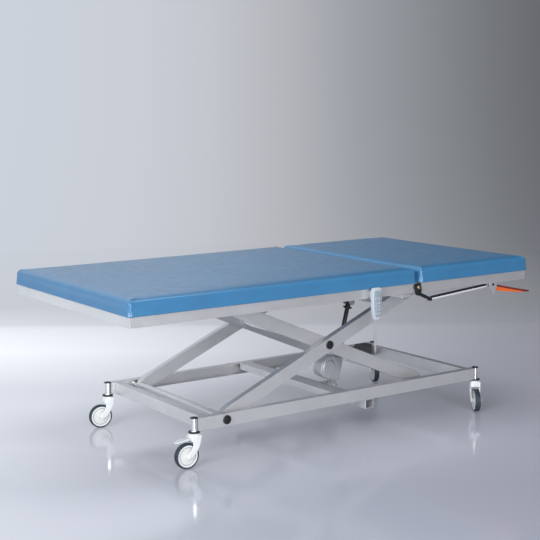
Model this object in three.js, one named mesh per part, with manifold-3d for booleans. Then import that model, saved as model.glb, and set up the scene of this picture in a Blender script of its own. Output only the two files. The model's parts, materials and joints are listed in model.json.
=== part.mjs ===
// Height-adjustable medical exam table with a scissor lift, a hinged back section and four casters.
// Millimetres, +Z up, +X towards the head end, -Y towards the side that carries the handset.
import * as THREE from 'three';
import { RoundedBoxGeometry } from 'three/addons/geometries/RoundedBoxGeometry.js';
import { mergeVertices } from 'three/addons/utils/BufferGeometryUtils.js';
import Module from 'manifold-3d';

const wasm = await Module();
wasm.setup();

// ---- driving dimensions -------------------------------------------------------------------------
const GAP = 0.3;                       // between pieces that touch

const TOP_LENGTH = 2010;
const TOP_WIDTH = 1010;
const TOP_HEIGHT = 704;
const CUSHION_THICKNESS = 65;          // board included
const BOARD_THICKNESS = 12;
const BOARD_INSET = 6;
const SPLIT_X = 356;                   // middle of the gap between the two cushions
const SPLIT_GAP = 14;

const FRAME_TUBE_HEIGHT = 40;
const FRAME_TUBE_WIDTH = 30;
const FRAME_INSET = 12;
const TUBE_WALL = 2;

const BASE_RAIL_HEIGHT = 50;
const BASE_RAIL_WIDTH = 30;
const BASE_RAIL_TOP = 193;
const BASE_RAIL_Y = 361;               // middle of the rail
const CHANNEL_WALL = 3;
const POST_X_FOOT = -657;
const POST_X_HEAD = 826;
const POST_DIAMETER = 24;
const POST_CAP = [15.5, 3];            // radius, thickness
const POST_RING = [23, 6];

const LIFT_REACH = 1058;               // along X, lower pivot to upper roller
const LOWER_PIVOT_X = -517;
const ARM_HEIGHT = 54;
const ARM_WIDTH = 30;
const OUTER_ARM_Y = 327;               // middle of the arm
const INNER_ARM_Y = 293;
const ARM_END_RADIUS = 17;
const SHAFT_RADIUS = 10;
const BEARING_CLEARANCE = 0.25;
const ROLLER_WIDTH = 20;

const ACTUATOR_PIVOT = [285, 122];     // x, z
const ACTUATOR_TUBE_TOP = 250;         // above its lower pivot
const ROD_LENGTH = 263;
const ROD_RADIUS = 10;
const LIFT_LUG = [955, -55];           // along the outer arm, and square to it

const HINGE = [356, 622];              // x, z
const GAS_FIXED_EYE = [428, 563.5];
const GAS_MOVING_EYE = [800, 591];
const GAS_BARREL = [16, 340, 9];        // start and end along the spring, radius
const LEVER_PIVOT = [830, 573];

const WHEEL_DIAMETER = 100;
const WHEEL_TRAIL = 35;
const RIM_RADIUS = 43;
const TYRE_WIDTH = 24;

const LEVER_OVERHANG = 31;             // past the head end of the cushions
const HANDSET_OVERHANG = 25;           // past the front edge of the cushions
const CABLE_RADIUS = 3;

// ---- derived places -----------------------------------------------------------------------------
const CUSHION_BOTTOM = TOP_HEIGHT - CUSHION_THICKNESS;
const FRAME_TOP = CUSHION_BOTTOM - GAP;
const FRAME_BOTTOM = FRAME_TOP - FRAME_TUBE_HEIGHT;
const FRAME_Y = TOP_WIDTH / 2 - FRAME_INSET - FRAME_TUBE_WIDTH / 2;
const FRAME_END = TOP_LENGTH / 2 - FRAME_INSET;
const FRAME_FACE = TOP_WIDTH / 2 - FRAME_INSET;
const BASE_RAIL_BOTTOM = BASE_RAIL_TOP - BASE_RAIL_HEIGHT;
const LOWER_PIVOT_Z = BASE_RAIL_BOTTOM + BASE_RAIL_HEIGHT / 2;
const UPPER_PIVOT_Z = FRAME_BOTTOM + FRAME_TUBE_HEIGHT / 2;
const LIFT_RISE = UPPER_PIVOT_Z - LOWER_PIVOT_Z;
const LIFT_ANGLE = Math.atan2(LIFT_RISE, LIFT_REACH);
const ARM_LENGTH = Math.hypot(LIFT_REACH, LIFT_RISE);
const AXLE_Z = WHEEL_DIAMETER / 2;

const COLOURS = {
  frame: [0.70, 0.71, 0.73],
  cap: [0.05, 0.06, 0.07],
  cushion: [0.16, 0.38, 0.62],
  board: [0.10, 0.10, 0.11],
  steel: [0.80, 0.81, 0.82],
  housing: [0.72, 0.73, 0.75],
  dark: [0.06, 0.06, 0.06],
  caster: [0.86, 0.87, 0.88],
  tyre: [0.08, 0.11, 0.14],
  lever: [0.72, 0.20, 0.07],
  handset: [0.66, 0.72, 0.78],
  button: [0.20, 0.30, 0.42],
};
const FINISH = {
  frame: [0.45, 0.3],
  steel: [0.2, 1.0],
  cushion: [0.5, 0.0],
  tyre: [0.8, 0.0],
};

// ---- small tools --------------------------------------------------------------------------------
const table = new THREE.Group();
table.position.set(-LEVER_OVERHANG / 2, HANDSET_OVERHANG / 2, 0);

function material(kind) {
  const [roughness, metalness] = FINISH[kind] ?? [0.5, 0.0];
  return new THREE.MeshStandardMaterial({
    color: new THREE.Color(...COLOURS[kind]),
    roughness,
    metalness,
  });
}

function add(name, geometry, kind, parent = table) {
  const mesh = new THREE.Mesh(geometry, material(kind));
  mesh.name = name;
  parent.add(mesh);
  return mesh;
}

function solid(geometry) {
  const merged = mergeVertices(stripped(geometry), 1e-4);
  const mesh = new wasm.Mesh({
    numProp: 3,
    vertProperties: new Float32Array(merged.attributes.position.array),
    triVerts: new Uint32Array(merged.index.array),
  });
  return new wasm.Manifold(mesh);
}

function stripped(geometry) {
  const bare = geometry.clone();
  bare.deleteAttribute('normal');
  bare.deleteAttribute('uv');
  return bare;
}

function fromSolid(shape) {
  const mesh = shape.getMesh();
  const geometry = new THREE.BufferGeometry();
  geometry.setAttribute('position', new THREE.BufferAttribute(mesh.vertProperties, 3));
  geometry.setIndex(new THREE.BufferAttribute(mesh.triVerts, 1));
  geometry.computeVertexNormals();
  return geometry;
}

function join(first, ...rest) {
  return fromSolid(rest.reduce((sum, piece) => sum.add(solid(piece)), solid(first)));
}

function cut(first, ...tools) {
  return fromSolid(tools.reduce((left, tool) => left.subtract(solid(tool)), solid(first)));
}

// A box given by its lowest and highest corners.
function box(low, high) {
  const size = high.map((value, i) => value - low[i]);
  const geometry = new THREE.BoxGeometry(...size);
  return geometry.translate(...high.map((value, i) => value - size[i] / 2));
}

function roundedBox(low, high, radius, steps = 2) {
  const size = high.map((value, i) => value - low[i]);
  const geometry = new RoundedBoxGeometry(...size, steps, radius);
  return geometry.translate(...high.map((value, i) => value - size[i] / 2));
}

// A round bar between two points.
function bar(start, end, radius, sides = 16) {
  const a = new THREE.Vector3(...start);
  const b = new THREE.Vector3(...end);
  const geometry = new THREE.CylinderGeometry(radius, radius, a.distanceTo(b), sides);
  const turn = new THREE.Quaternion().setFromUnitVectors(
    new THREE.Vector3(0, 1, 0), b.clone().sub(a).normalize());
  return geometry.applyQuaternion(turn).translate(...a.add(b).multiplyScalar(0.5).toArray());
}

// An outline drawn in X and Z, thickened along Y between two planes.
function plateXZ(outline, yLow, yHigh, holes = []) {
  const shape = new THREE.Shape(outline.map(([x, z]) => new THREE.Vector2(x, z)));
  for (const [x, z, radius] of holes) {
    shape.holes.push(new THREE.Path().absarc(x, z, radius, 0, Math.PI * 2, true));
  }
  const options = { depth: yHigh - yLow, bevelEnabled: false, curveSegments: 8 };
  const geometry = new THREE.ExtrudeGeometry(shape, options);
  return geometry.rotateX(Math.PI / 2).translate(0, yHigh, 0);
}

// The same plate on one hand of the middle plane, from a distance `near` outwards.
function platePair(outline, hand, near, thickness, holes = []) {
  const faces = [hand * near, hand * (near + thickness)].sort((a, b) => a - b);
  return plateXZ(outline, faces[0], faces[1], holes);
}

// Points of a round-ended bar outline from one centre to another, in X and Z.
function roundEnded(from, to, radius, steps = 6) {
  const heading = Math.atan2(to[1] - from[1], to[0] - from[0]);
  const points = [];
  for (const [centre, offset] of [[to, -Math.PI / 2], [from, Math.PI / 2]]) {
    for (let i = 0; i <= steps; i += 1) {
      const angle = heading + offset + (Math.PI * i) / steps;
      points.push([centre[0] + radius * Math.cos(angle), centre[1] + radius * Math.sin(angle)]);
    }
  }
  return points;
}

// A rectangular tube, open at both ends, that runs along X or Y.
function openTube(low, high, axis) {
  const inner = [low, high].map((corner, side) => corner.map((value, i) => (
    i === axis ? value + (side === 0 ? -1 : 1) : value + (side === 0 ? TUBE_WALL : -TUBE_WALL))));
  return cut(box(low, high), box(...inner));
}

// A tube's end cut at 45 degrees for a welded corner. `corner` is the frame's outer corner in X and Y and
// `inwards` the signs that lead from it into the frame; the tube runs along X if `alongX` is set.
function mitred(tube, corner, inwards, alongX) {
  const slack = GAP / 2;
  const far = FRAME_TUBE_WIDTH + 10;
  const waste = [[-1, -1 - slack], [far, far - slack], [-1, far - slack]]
    .map(([along, across]) => (alongX ? [along, across] : [across, along]))
    .map(([x, y]) => new THREE.Vector2(corner[0] + inwards[0] * x, corner[1] + inwards[1] * y));
  const options = { depth: FRAME_TUBE_HEIGHT + 2, bevelEnabled: false };
  const wedge = new THREE.ExtrudeGeometry(new THREE.Shape(waste), options);
  wedge.translate(0, 0, FRAME_BOTTOM - 1);
  return cut(tube, wedge);
}

// A channel along X that opens towards the middle of the table.
function inwardChannel(xLow, xHigh, side, zLow, zHigh) {
  const outerY = side * (BASE_RAIL_Y + BASE_RAIL_WIDTH / 2);
  const innerY = side * (BASE_RAIL_Y - BASE_RAIL_WIDTH / 2);
  const webY = outerY - side * CHANNEL_WALL;
  const ys = [outerY, innerY].sort((a, b) => a - b);
  const hollow = [webY, innerY - side].sort((a, b) => a - b);
  return cut(
    box([xLow, ys[0], zLow], [xHigh, ys[1], zHigh]),
    box([xLow - 1, hollow[0], zLow + CHANNEL_WALL], [xHigh + 1, hollow[1], zHigh - CHANNEL_WALL]),
  );
}

function lathe(profile, segments) {
  const points = profile.map(([radius, height]) => new THREE.Vector2(radius, height));
  return new THREE.LatheGeometry(points, segments);
}

const SIDES = [['front', -1], ['back', 1]];

// ---- base ---------------------------------------------------------------------------------------
const POST_CLEAR = POST_DIAMETER / 2 + GAP;
const POST_FOOT_DROP = 7;
const RAIL_INNER_Y = BASE_RAIL_Y - BASE_RAIL_WIDTH / 2;
const FOOT_RAIL_X = [-627, -597];
const HEAD_RAIL_X = [764, 794];
const END_PLATE = 4;
const CROSS_MEMBER_X = [20, 80];
const BEAM_X = [177, 220];
const BEAM_Z = [103, BASE_RAIL_BOTTOM - GAP];
const LUG_Y = 21;
const LUG_THICKNESS = 6;
const PIN_RADIUS = 6;

function buildBase() {
  for (const [name, side] of SIDES) {
    const rail = baseRail(side);
    const y = side * BASE_RAIL_Y;
    const bore = bar([LOWER_PIVOT_X, y - 30, LOWER_PIVOT_Z], [LOWER_PIVOT_X, y + 30, LOWER_PIVOT_Z],
      SHAFT_RADIUS + BEARING_CLEARANCE);
    add(`base_rail_${name}`, cut(rail, bore), 'frame');
    for (const [end, x] of [['foot', POST_X_FOOT], ['head', POST_X_HEAD]]) {
      add(`corner_post_${name}_${end}`, postGeometry().translate(x, y, 0), 'frame');
    }
  }
  const reach = RAIL_INNER_Y - GAP;
  for (const [end, [low, high]] of [['foot', FOOT_RAIL_X], ['head', HEAD_RAIL_X]]) {
    const tube = openTube([low, -reach, BASE_RAIL_BOTTOM], [high, reach, BASE_RAIL_TOP], 1);
    add(`base_end_rail_${end}`, tube, 'frame');
  }
  const [crossLow, crossHigh] = CROSS_MEMBER_X;
  const cross = openTube([crossLow, -reach, BASE_RAIL_TOP - 30], [crossHigh, reach, BASE_RAIL_TOP], 1);
  add('base_cross_member', cross, 'frame');
  buildActuatorBeam();
  buildLowerPivotShaft();
  buildPowerUnit();
}

// A channel between the end rails that goes on as a closed box, with a plate at its end, up to each post.
function baseRail(side) {
  const [low, high] = [POST_X_FOOT + POST_CLEAR, POST_X_HEAD - POST_CLEAR];
  const faces = [side * (BASE_RAIL_Y + BASE_RAIL_WIDTH / 2), side * RAIL_INNER_Y].sort((a, b) => a - b);
  const room = (xLow, xHigh, yLow, yHigh) => box(
    [xLow, yLow, BASE_RAIL_BOTTOM + CHANNEL_WALL], [xHigh, yHigh, BASE_RAIL_TOP - CHANNEL_WALL]);
  const [from, to] = [FOOT_RAIL_X[1], HEAD_RAIL_X[0]];
  const open = side < 0 ? [faces[0] + CHANNEL_WALL, faces[1] + 1] : [faces[0] - 1, faces[1] - CHANNEL_WALL];
  const shut = [faces[0] + CHANNEL_WALL, faces[1] - CHANNEL_WALL];
  return cut(box([low, faces[0], BASE_RAIL_BOTTOM], [high, faces[1], BASE_RAIL_TOP]),
    room(from, to, ...open),
    room(low + END_PLATE, from + 1, ...shut),
    room(to - 1, high - END_PLATE, ...shut));
}

// A round post with a thin cap over the rail and a ring that the caster turns under.
function postGeometry() {
  const foot = BASE_RAIL_BOTTOM - POST_FOOT_DROP;
  const cap = BASE_RAIL_TOP + GAP;
  const profile = [
    [0, foot], [POST_RING[0], foot], [POST_RING[0], foot + POST_RING[1]],
    [POST_DIAMETER / 2, foot + POST_RING[1]], [POST_DIAMETER / 2, cap], [POST_CAP[0], cap],
    [POST_CAP[0], cap + POST_CAP[1]], [0, cap + POST_CAP[1]],
  ];
  return lathe(profile, 24).rotateX(Math.PI / 2);
}

function buildActuatorBeam() {
  const halfWidth = BASE_RAIL_Y + BASE_RAIL_WIDTH / 2;
  const [x, z] = ACTUATOR_PIVOT;
  const beam = box([BEAM_X[0], -halfWidth, BEAM_Z[0]], [BEAM_X[1], halfWidth, BEAM_Z[1]]);
  const lugOutline = roundEnded([BEAM_X[1] - 5, z], [x, z], 15);
  const lugs = [-1, 1].map((hand) => platePair(lugOutline, hand, LUG_Y, LUG_THICKNESS));
  const hollow = box(
    [BEAM_X[0] + CHANNEL_WALL, -halfWidth - 1, BEAM_Z[0] + CHANNEL_WALL],
    [BEAM_X[1] - CHANNEL_WALL, halfWidth + 1, BEAM_Z[1] - CHANNEL_WALL]);
  const pinEnd = LUG_Y + LUG_THICKNESS + 5;
  const pin = bar([x, -pinEnd, z], [x, pinEnd, z], PIN_RADIUS);
  add('actuator_beam', join(cut(join(beam, ...lugs), hollow), pin), 'frame');
}

function buildLowerPivotShaft() {
  const face = BASE_RAIL_Y + BASE_RAIL_WIDTH / 2 + GAP;
  const at = (y) => [LOWER_PIVOT_X, y, LOWER_PIVOT_Z];
  add('lower_pivot_shaft', join(
    bar(at(-face - 1), at(face + 1), SHAFT_RADIUS),
    bar(at(-face - 7), at(-face), 18, 28),
    bar(at(face), at(face + 7), 18, 28),
  ), 'cap');
}

function buildPowerUnit() {
  const high = [HEAD_RAIL_X[0] - GAP, RAIL_INNER_Y - GAP, BASE_RAIL_BOTTOM + 58];
  const low = [high[0] - 66, high[1] - 54, BASE_RAIL_BOTTOM + 3];
  const body = box(low, high);
  const slots = [];
  for (let x = low[0] + 8; x < high[0] - 10; x += 11) {
    slots.push(box([x, low[1] + 7, high[2] - 5], [x + 5, high[1] - 7, high[2] + 1]));
  }
  const inlet = box([low[0] - 1, low[1] + 14, low[2] + 14], [low[0] + 14, low[1] + 38, low[2] + 34]);
  add('power_unit', cut(body, ...slots, inlet), 'dark');
}

// ---- casters ------------------------------------------------------------------------------------
// Turn of each fork about Z, in degrees: 0 trails the wheel towards -X.
const CASTERS = [
  ['front_foot', POST_X_FOOT, -1, 0],
  ['back_foot', POST_X_FOOT, 1, -8],
  ['front_head', POST_X_HEAD, -1, 58],
  ['back_head', POST_X_HEAD, 1, 66],
];
const CASTER_TOP = BASE_RAIL_BOTTOM - POST_FOOT_DROP - GAP;
const CHEEK_Y = 18;
const CHEEK = 5;
const CROWN_RADIUS = 24;
const BRIDGE_BOTTOM = AXLE_Z + 56;
const AXLE_RADIUS = 5;

// Two cheeks sweep back from a round crown to the axle.
function forkGeometry() {
  const hub = -WHEEL_TRAIL;
  const outline = [
    [18, CASTER_TOP - 8], [-16, CASTER_TOP - 8], [-17, AXLE_Z + 44], [-24, AXLE_Z + 24],
    [hub - 8, AXLE_Z + 13], [hub - 13, AXLE_Z + 4], [hub - 12, AXLE_Z - 7], [hub - 4, AXLE_Z - 13],
    [hub + 7, AXLE_Z - 11], [hub + 26, AXLE_Z + 6], [6, AXLE_Z + 26], [16, AXLE_Z + 48],
  ];
  const outer = CHEEK_Y + CHEEK;
  const crown = lathe([[0, BRIDGE_BOTTOM], [CROWN_RADIUS - 4, BRIDGE_BOTTOM],
    [CROWN_RADIUS, BRIDGE_BOTTOM + 8], [CROWN_RADIUS, CASTER_TOP - 7], [CROWN_RADIUS - 4, CASTER_TOP - 1],
    [CROWN_RADIUS - 9, CASTER_TOP], [0, CASTER_TOP]], 24).rotateX(Math.PI / 2);
  const bridge = box([-22, -outer, BRIDGE_BOTTOM], [16, outer, CASTER_TOP - 14]);
  const cheeks = [-1, 1].map((hand) => platePair(outline, hand, CHEEK_Y, CHEEK));
  const axle = bar([hub, -outer - 2, AXLE_Z], [hub, outer + 2, AXLE_Z], AXLE_RADIUS, 12);
  return join(bridge, crown, ...cheeks, axle);
}

// Half of a wheel's outline from its bore outwards; the other half is its mirror image.
function wheelProfile(half) {
  const mirrored = half.map(([radius, height]) => [radius, -height]).reverse();
  return lathe([...half, ...mirrored, half[0]], 36);
}

function buildCaster(name, x, side, turn) {
  const caster = new THREE.Group();
  caster.position.set(x, side * BASE_RAIL_Y, 0);
  caster.rotation.z = THREE.MathUtils.degToRad(turn);
  table.add(caster);
  add(`caster_fork_${name}`, forkGeometry(), 'caster', caster);
  const bore = AXLE_RADIUS + BEARING_CLEARANCE;
  const half = TYRE_WIDTH / 2;
  const core = wheelProfile([[bore, -half - 4], [12, -half - 4], [14, -half + 3], [RIM_RADIUS - 8, -half + 2],
    [RIM_RADIUS - 6, -half], [RIM_RADIUS, -half + 1]]);
  add(`wheel_core_${name}`, core, 'caster', caster).position.set(-WHEEL_TRAIL, 0, AXLE_Z);
  const radius = WHEEL_DIAMETER / 2;
  const tyre = wheelProfile([[RIM_RADIUS + GAP, -half + 1], [radius - 3, -half], [radius, -half + 6]]);
  add(`tyre_${name}`, tyre, 'tyre', caster).position.set(-WHEEL_TRAIL, 0, AXLE_Z);
  if (name === 'front_foot') {
    buildBrakePedal(caster);
  }
}

const PEDAL_HALF_WIDTH = 15;

// A tongue between the fork's cheeks that is trodden down to hold the wheel.
function buildBrakePedal(caster) {
  const outline = [[-26, 108], [-26, 120], [-50, 119.5], [-72, 115.5], [-88, 110], [-87, 107], [-70, 109],
    [-50, 110]];
  add('brake_pedal', plateXZ(outline, -PEDAL_HALF_WIDTH, PEDAL_HALF_WIDTH), 'caster', caster);
}

// ---- scissor lift -------------------------------------------------------------------------------
// A frame of reference along an arm: X runs along it, from its pivot at the foot end.
function armGroup(z, angle) {
  const group = new THREE.Group();
  group.position.set(LOWER_PIVOT_X, 0, z);
  group.rotation.y = -angle;
  table.add(group);
  return group;
}

function armGeometry(yMiddle) {
  const yLow = yMiddle - ARM_WIDTH / 2;
  const yHigh = yMiddle + ARM_WIDTH / 2;
  const taper = 40;
  const half = ARM_HEIGHT / 2;
  const bow = (centre, heading) => {
    const points = [];
    for (let i = 0; i <= 8; i += 1) {
      const angle = heading - Math.PI / 2 + (Math.PI * i) / 8;
      points.push([centre + ARM_END_RADIUS * Math.cos(angle), ARM_END_RADIUS * Math.sin(angle)]);
    }
    return points;
  };
  const outline = [
    [taper, -half], [ARM_LENGTH - taper, -half], ...bow(ARM_LENGTH, 0),
    [ARM_LENGTH - taper, half], [taper, half], ...bow(0, Math.PI),
  ];
  const bore = SHAFT_RADIUS + BEARING_CLEARANCE;
  const bores = [0, ARM_LENGTH / 2, ARM_LENGTH].map((x) => [x, 0, bore]);
  const wall = 3;
  const cavity = (from, to) => box([from, yLow + wall, -half + wall], [to, yHigh - wall, half - wall]);
  const vent = (x) => bar([x, yMiddle, -half - 1], [x, yMiddle, 0], 4, 8);
  return cut(plateXZ(outline, yLow, yHigh, bores),
    cavity(taper + 10, ARM_LENGTH / 2 - 30), vent(taper + 60),
    cavity(ARM_LENGTH / 2 + 30, ARM_LENGTH - taper - 10), vent(ARM_LENGTH - taper - 60));
}

// A shaft across both arms with a roller on each end.
function rollerShaft(channelHeight) {
  const tip = BASE_RAIL_Y + BASE_RAIL_WIDTH / 2 - CHANNEL_WALL - 2;
  const radius = channelHeight / 2 - CHANNEL_WALL - 0.7;
  const at = (y) => [ARM_LENGTH, y, 0];
  return join(
    bar(at(1 - tip), at(tip - 1), SHAFT_RADIUS),
    bar(at(-tip), at(ROLLER_WIDTH - tip), radius, 24),
    bar(at(tip - ROLLER_WIDTH), at(tip), radius, 24),
  );
}

function buildScissor() {
  const outer = armGroup(LOWER_PIVOT_Z, LIFT_ANGLE);
  const inner = armGroup(UPPER_PIVOT_Z, -LIFT_ANGLE);
  for (const [name, side] of SIDES) {
    add(`outer_arm_${name}`, armGeometry(side * OUTER_ARM_Y), 'frame', outer);
    add(`inner_arm_${name}`, armGeometry(side * INNER_ARM_Y), 'frame', inner);
  }
  const between = OUTER_ARM_Y - ARM_WIDTH / 2 - GAP;
  buildTorqueTube(outer, between);
  buildLiftTube(outer, between);

  add('upper_roller_shaft', rollerShaft(FRAME_TUBE_HEIGHT), 'steel', outer);
  add('lower_roller_shaft', rollerShaft(BASE_RAIL_HEIGHT), 'steel', inner);

  const outside = OUTER_ARM_Y + ARM_WIDTH / 2 + GAP;
  const at = (y) => [ARM_LENGTH / 2, y, 0];
  add('centre_pivot_shaft', join(
    bar(at(-outside - 1), at(outside + 1), SHAFT_RADIUS),
    bar(at(-outside - 6), at(-outside), 18, 28),
    bar(at(outside), at(outside + 6), 18, 28),
  ), 'cap', inner);
}

// The tube around the lower pivot shaft that keeps the two outer arms in step.
function buildTorqueTube(outer, reach) {
  const tube = bar([0, -reach, 0], [0, reach, 0], 17, 28);
  const bore = bar([0, -reach - 1, 0], [0, reach + 1, 0], SHAFT_RADIUS + 1, 28);
  add('outer_torque_tube', cut(tube, bore), 'frame', outer);
}

// The square tube that the actuator lifts, with two lugs that reach down to the rod's eye.
function buildLiftTube(outer, reach) {
  const [along, across] = LIFT_LUG;
  const size = 20;
  const tube = openTube([along - size, -reach, -size], [along + size, reach, size], 1);
  const lugOutline = roundEnded([along, -size - 13], [along, across], 14);
  const lugs = [-1, 1].map((hand) => platePair(lugOutline, hand, LUG_Y, LUG_THICKNESS));
  add('outer_lift_tube', join(tube, ...lugs), 'frame', outer);
}

// ---- actuator -----------------------------------------------------------------------------------
const EYE_HALF_WIDTH = 14;
const HOUSING_HALF_WIDTH = 33;

function liftLugPoint() {
  const [along, across] = LIFT_LUG;
  return [
    LOWER_PIVOT_X + along * Math.cos(LIFT_ANGLE) - across * Math.sin(LIFT_ANGLE),
    LOWER_PIVOT_Z + along * Math.sin(LIFT_ANGLE) + across * Math.cos(LIFT_ANGLE),
  ];
}

function buildActuator() {
  const [x, z] = ACTUATOR_PIVOT;
  const [topX, topZ] = liftLugPoint();
  const length = Math.hypot(topX - x, topZ - z);
  const group = new THREE.Group();
  group.position.set(x, 0, z);
  group.rotation.y = Math.PI / 2 - Math.atan2(topZ - z, topX - x);
  table.add(group);
  const up = (from, to, radius, sides = 24) => bar([0, 0, from], [0, 0, to], radius, sides);
  const housing = [
    [14, 26], [14, 118], [8, 130], [-52, 130], [-84, 112], [-100, 88], [-100, 52], [-88, 34], [-66, 27],
    [-30, 20], [0, 22],
  ];
  const eye = cut(plateXZ(roundEnded([0, 0], [0, 32], 13), -EYE_HALF_WIDTH, EYE_HALF_WIDTH),
    bar([0, -20, 0], [0, 20, 0], PIN_RADIUS + BEARING_CLEARANCE));
  const bore = up(22, ACTUATOR_TUBE_TOP + 1, ROD_RADIUS + BEARING_CLEARANCE);
  const tube = up(120, ACTUATOR_TUBE_TOP, 19);
  const motor = plateXZ(housing, -HOUSING_HALF_WIDTH, HOUSING_HALF_WIDTH);
  add('actuator_body', cut(join(motor, eye, tube), bore), 'housing', group);
  const rodTip = plateXZ(roundEnded([0, length - 12], [0, length], 12), -EYE_HALF_WIDTH, EYE_HALF_WIDTH);
  const rod = up(length - ROD_LENGTH, length - 10, ROD_RADIUS);
  const flange = up(length - 30, length - 22, 20);
  add('actuator_rod', cut(join(rod, flange, rodTip),
    bar([0, -20, length], [0, 20, length], PIN_RADIUS)), 'dark', group);
}

// ---- platform -----------------------------------------------------------------------------------
const LEG_END = SPLIT_X - SPLIT_GAP / 2;
const BACK_START = SPLIT_X + SPLIT_GAP / 2;
const CHANNEL_X = [-FRAME_END + FRAME_TUBE_WIDTH + GAP, 664];

function buildPlatform() {
  const half = FRAME_TUBE_WIDTH / 2;
  for (const [name, side] of SIDES) {
    const y = side * FRAME_Y;
    const [low, high] = [[-FRAME_END, y - half, FRAME_BOTTOM], [LEG_END - 6, y + half, FRAME_TOP]];
    const rail = mitred(openTube(low, high, 0),
      [-FRAME_END, side * FRAME_FACE], [1, -side], true);
    add(`platform_rail_${name}`, name === 'front' ? join(rail, handsetHolder()) : rail, 'frame');
    const channel = inwardChannel(...CHANNEL_X, side, FRAME_BOTTOM, FRAME_TOP);
    const end = side * (BASE_RAIL_Y + 30);
    const bore = bar([LOWER_PIVOT_X, end - 60, UPPER_PIVOT_Z], [LOWER_PIVOT_X, end + 60, UPPER_PIVOT_Z],
      SHAFT_RADIUS + BEARING_CLEARANCE);
    add(`roller_channel_${name}`, cut(channel, bore), 'frame');
  }
  const reach = FRAME_Y - half - GAP;
  const endRail = openTube(
    [-FRAME_END, -FRAME_FACE, FRAME_BOTTOM], [-FRAME_END + FRAME_TUBE_WIDTH, FRAME_FACE, FRAME_TOP], 1);
  add('platform_end_rail', [-1, 1].reduce((tube, side) => (
    mitred(tube, [-FRAME_END, side * FRAME_FACE], [1, -side], false)), endRail), 'frame');
  buildPlatformCrossRail(reach);
  const shaftEnd = BASE_RAIL_Y + BASE_RAIL_WIDTH / 2 + 3;
  const at = (y) => [LOWER_PIVOT_X, y, UPPER_PIVOT_Z];
  add('upper_pivot_shaft', bar(at(-shaftEnd), at(shaftEnd), SHAFT_RADIUS), 'steel');
  buildTop('leg', -TOP_LENGTH / 2, LEG_END);
  buildControlBox();
}

// The block on the rail that the handset hangs on.
function handsetHolder() {
  const railFace = -FRAME_Y - FRAME_TUBE_WIDTH / 2;
  return box([HANDSET_X - 12, HANDSET_BACK + GAP, 604], [HANDSET_X + 12, railFace + 0.5, 628]);
}

// The flat cross rail near the split passes under the roller channels.
function buildPlatformCrossRail(reach) {
  const high = FRAME_BOTTOM - GAP;
  const tube = openTube([LEG_END - 62, -reach - 20, high - 20], [LEG_END - 22, reach + 20, high], 1);
  add('platform_cross_rail', tube, 'frame');
}

function buildTop(name, xLow, xHigh, boardLow = xLow + BOARD_INSET) {
  const y = TOP_WIDTH / 2;
  const boardTop = CUSHION_BOTTOM + BOARD_THICKNESS;
  add(`${name}_board`, box([boardLow, -y + BOARD_INSET, CUSHION_BOTTOM],
    [xHigh - BOARD_INSET, y - BOARD_INSET, boardTop]), 'board');
  add(`${name}_cushion`, roundedBox([xLow, -y, boardTop + GAP], [xHigh, y, TOP_HEIGHT], 14), 'cushion');
}

const CONTROL_BOX = { low: [60, -330, FRAME_BOTTOM - 4], high: [190, -220, FRAME_TOP - 1] };

function buildControlBox() {
  add('control_box', roundedBox(CONTROL_BOX.low, CONTROL_BOX.high, 5, 1), 'dark');
}

// ---- back section -------------------------------------------------------------------------------
const BRACKET_Y = FRAME_Y + FRAME_TUBE_WIDTH / 2 + GAP;
const BRACKET_THICKNESS = 8;
const BACK_RAIL_START = HINGE[0] + 20;
const BACK_BOARD_START = HINGE[0] + 52;
const LEAF_FACE = FRAME_Y - FRAME_TUBE_WIDTH / 2;
const LEAF_THICKNESS = 5;
const TAB_Y = FRAME_Y + 8;
const GAS_Y = -FRAME_Y;
const LEVER_THICKNESS = 8;

function buildBackSection() {
  const half = FRAME_TUBE_WIDTH / 2;
  for (const [name, side] of SIDES) {
    const y = side * FRAME_Y;
    const [low, high] = [[BACK_RAIL_START, y - half, FRAME_BOTTOM], [FRAME_END, y + half, FRAME_TOP]];
    const rail = mitred(openTube(low, high, 0),
      [FRAME_END, side * FRAME_FACE], [-1, -side], true);
    const leafEnd = HINGE[0] + 70;
    const leaf = platePair(roundEnded(HINGE, [leafEnd, HINGE[1]], 14), side,
      LEAF_FACE - GAP - LEAF_THICKNESS, LEAF_THICKNESS, [[...HINGE, PIN_RADIUS + BEARING_CLEARANCE]]);
    const weld = platePair([[BACK_RAIL_START + 8, HINGE[1] - 9], [leafEnd, HINGE[1] - 9],
      [leafEnd, HINGE[1] + 9], [BACK_RAIL_START + 8, HINGE[1] + 9]], side, LEAF_FACE - 1, 2);
    const tabs = name === 'front' ? gasTab() : [];
    add(`back_rail_${name}`, join(rail, leaf, weld, ...tabs), 'frame');
  }
  const endRail = openTube(
    [FRAME_END - FRAME_TUBE_WIDTH, -FRAME_FACE, FRAME_BOTTOM], [FRAME_END, FRAME_FACE, FRAME_TOP], 1);
  add('back_end_rail', [-1, 1].reduce((tube, side) => (
    mitred(tube, [FRAME_END, side * FRAME_FACE], [-1, -side], false)), endRail), 'frame');
  buildTop('back', BACK_START, TOP_LENGTH / 2, BACK_BOARD_START);
}

// The V-shaped tab that hangs from the front rail over the gas spring's eye, and the lever's lug behind it.
function gasTab() {
  const top = FRAME_BOTTOM + 1;
  const outline = [
    [779, top], [785, 580], [797, 552], [801, 548], [808, 548], [812, 552], [821, 577], [827, top],
  ];
  const [x, z] = LEVER_PIVOT;
  const lugFace = -GAS_Y - LEVER_THICKNESS / 2 - 2;
  const lugOutline = [[x - 14, top], [x - 8, z - 7], [x + 8, z - 7], [x + 14, top]];
  const lug = plateXZ(lugOutline, -lugFace, 4 - lugFace);
  const pin = bar([x, 1 - lugFace, z], [x, GAS_Y - LEVER_THICKNESS / 2 - 1, z], 3, 12);
  return [plateXZ(outline, -TAB_Y - 4, -TAB_Y), lug, pin];
}

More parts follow.
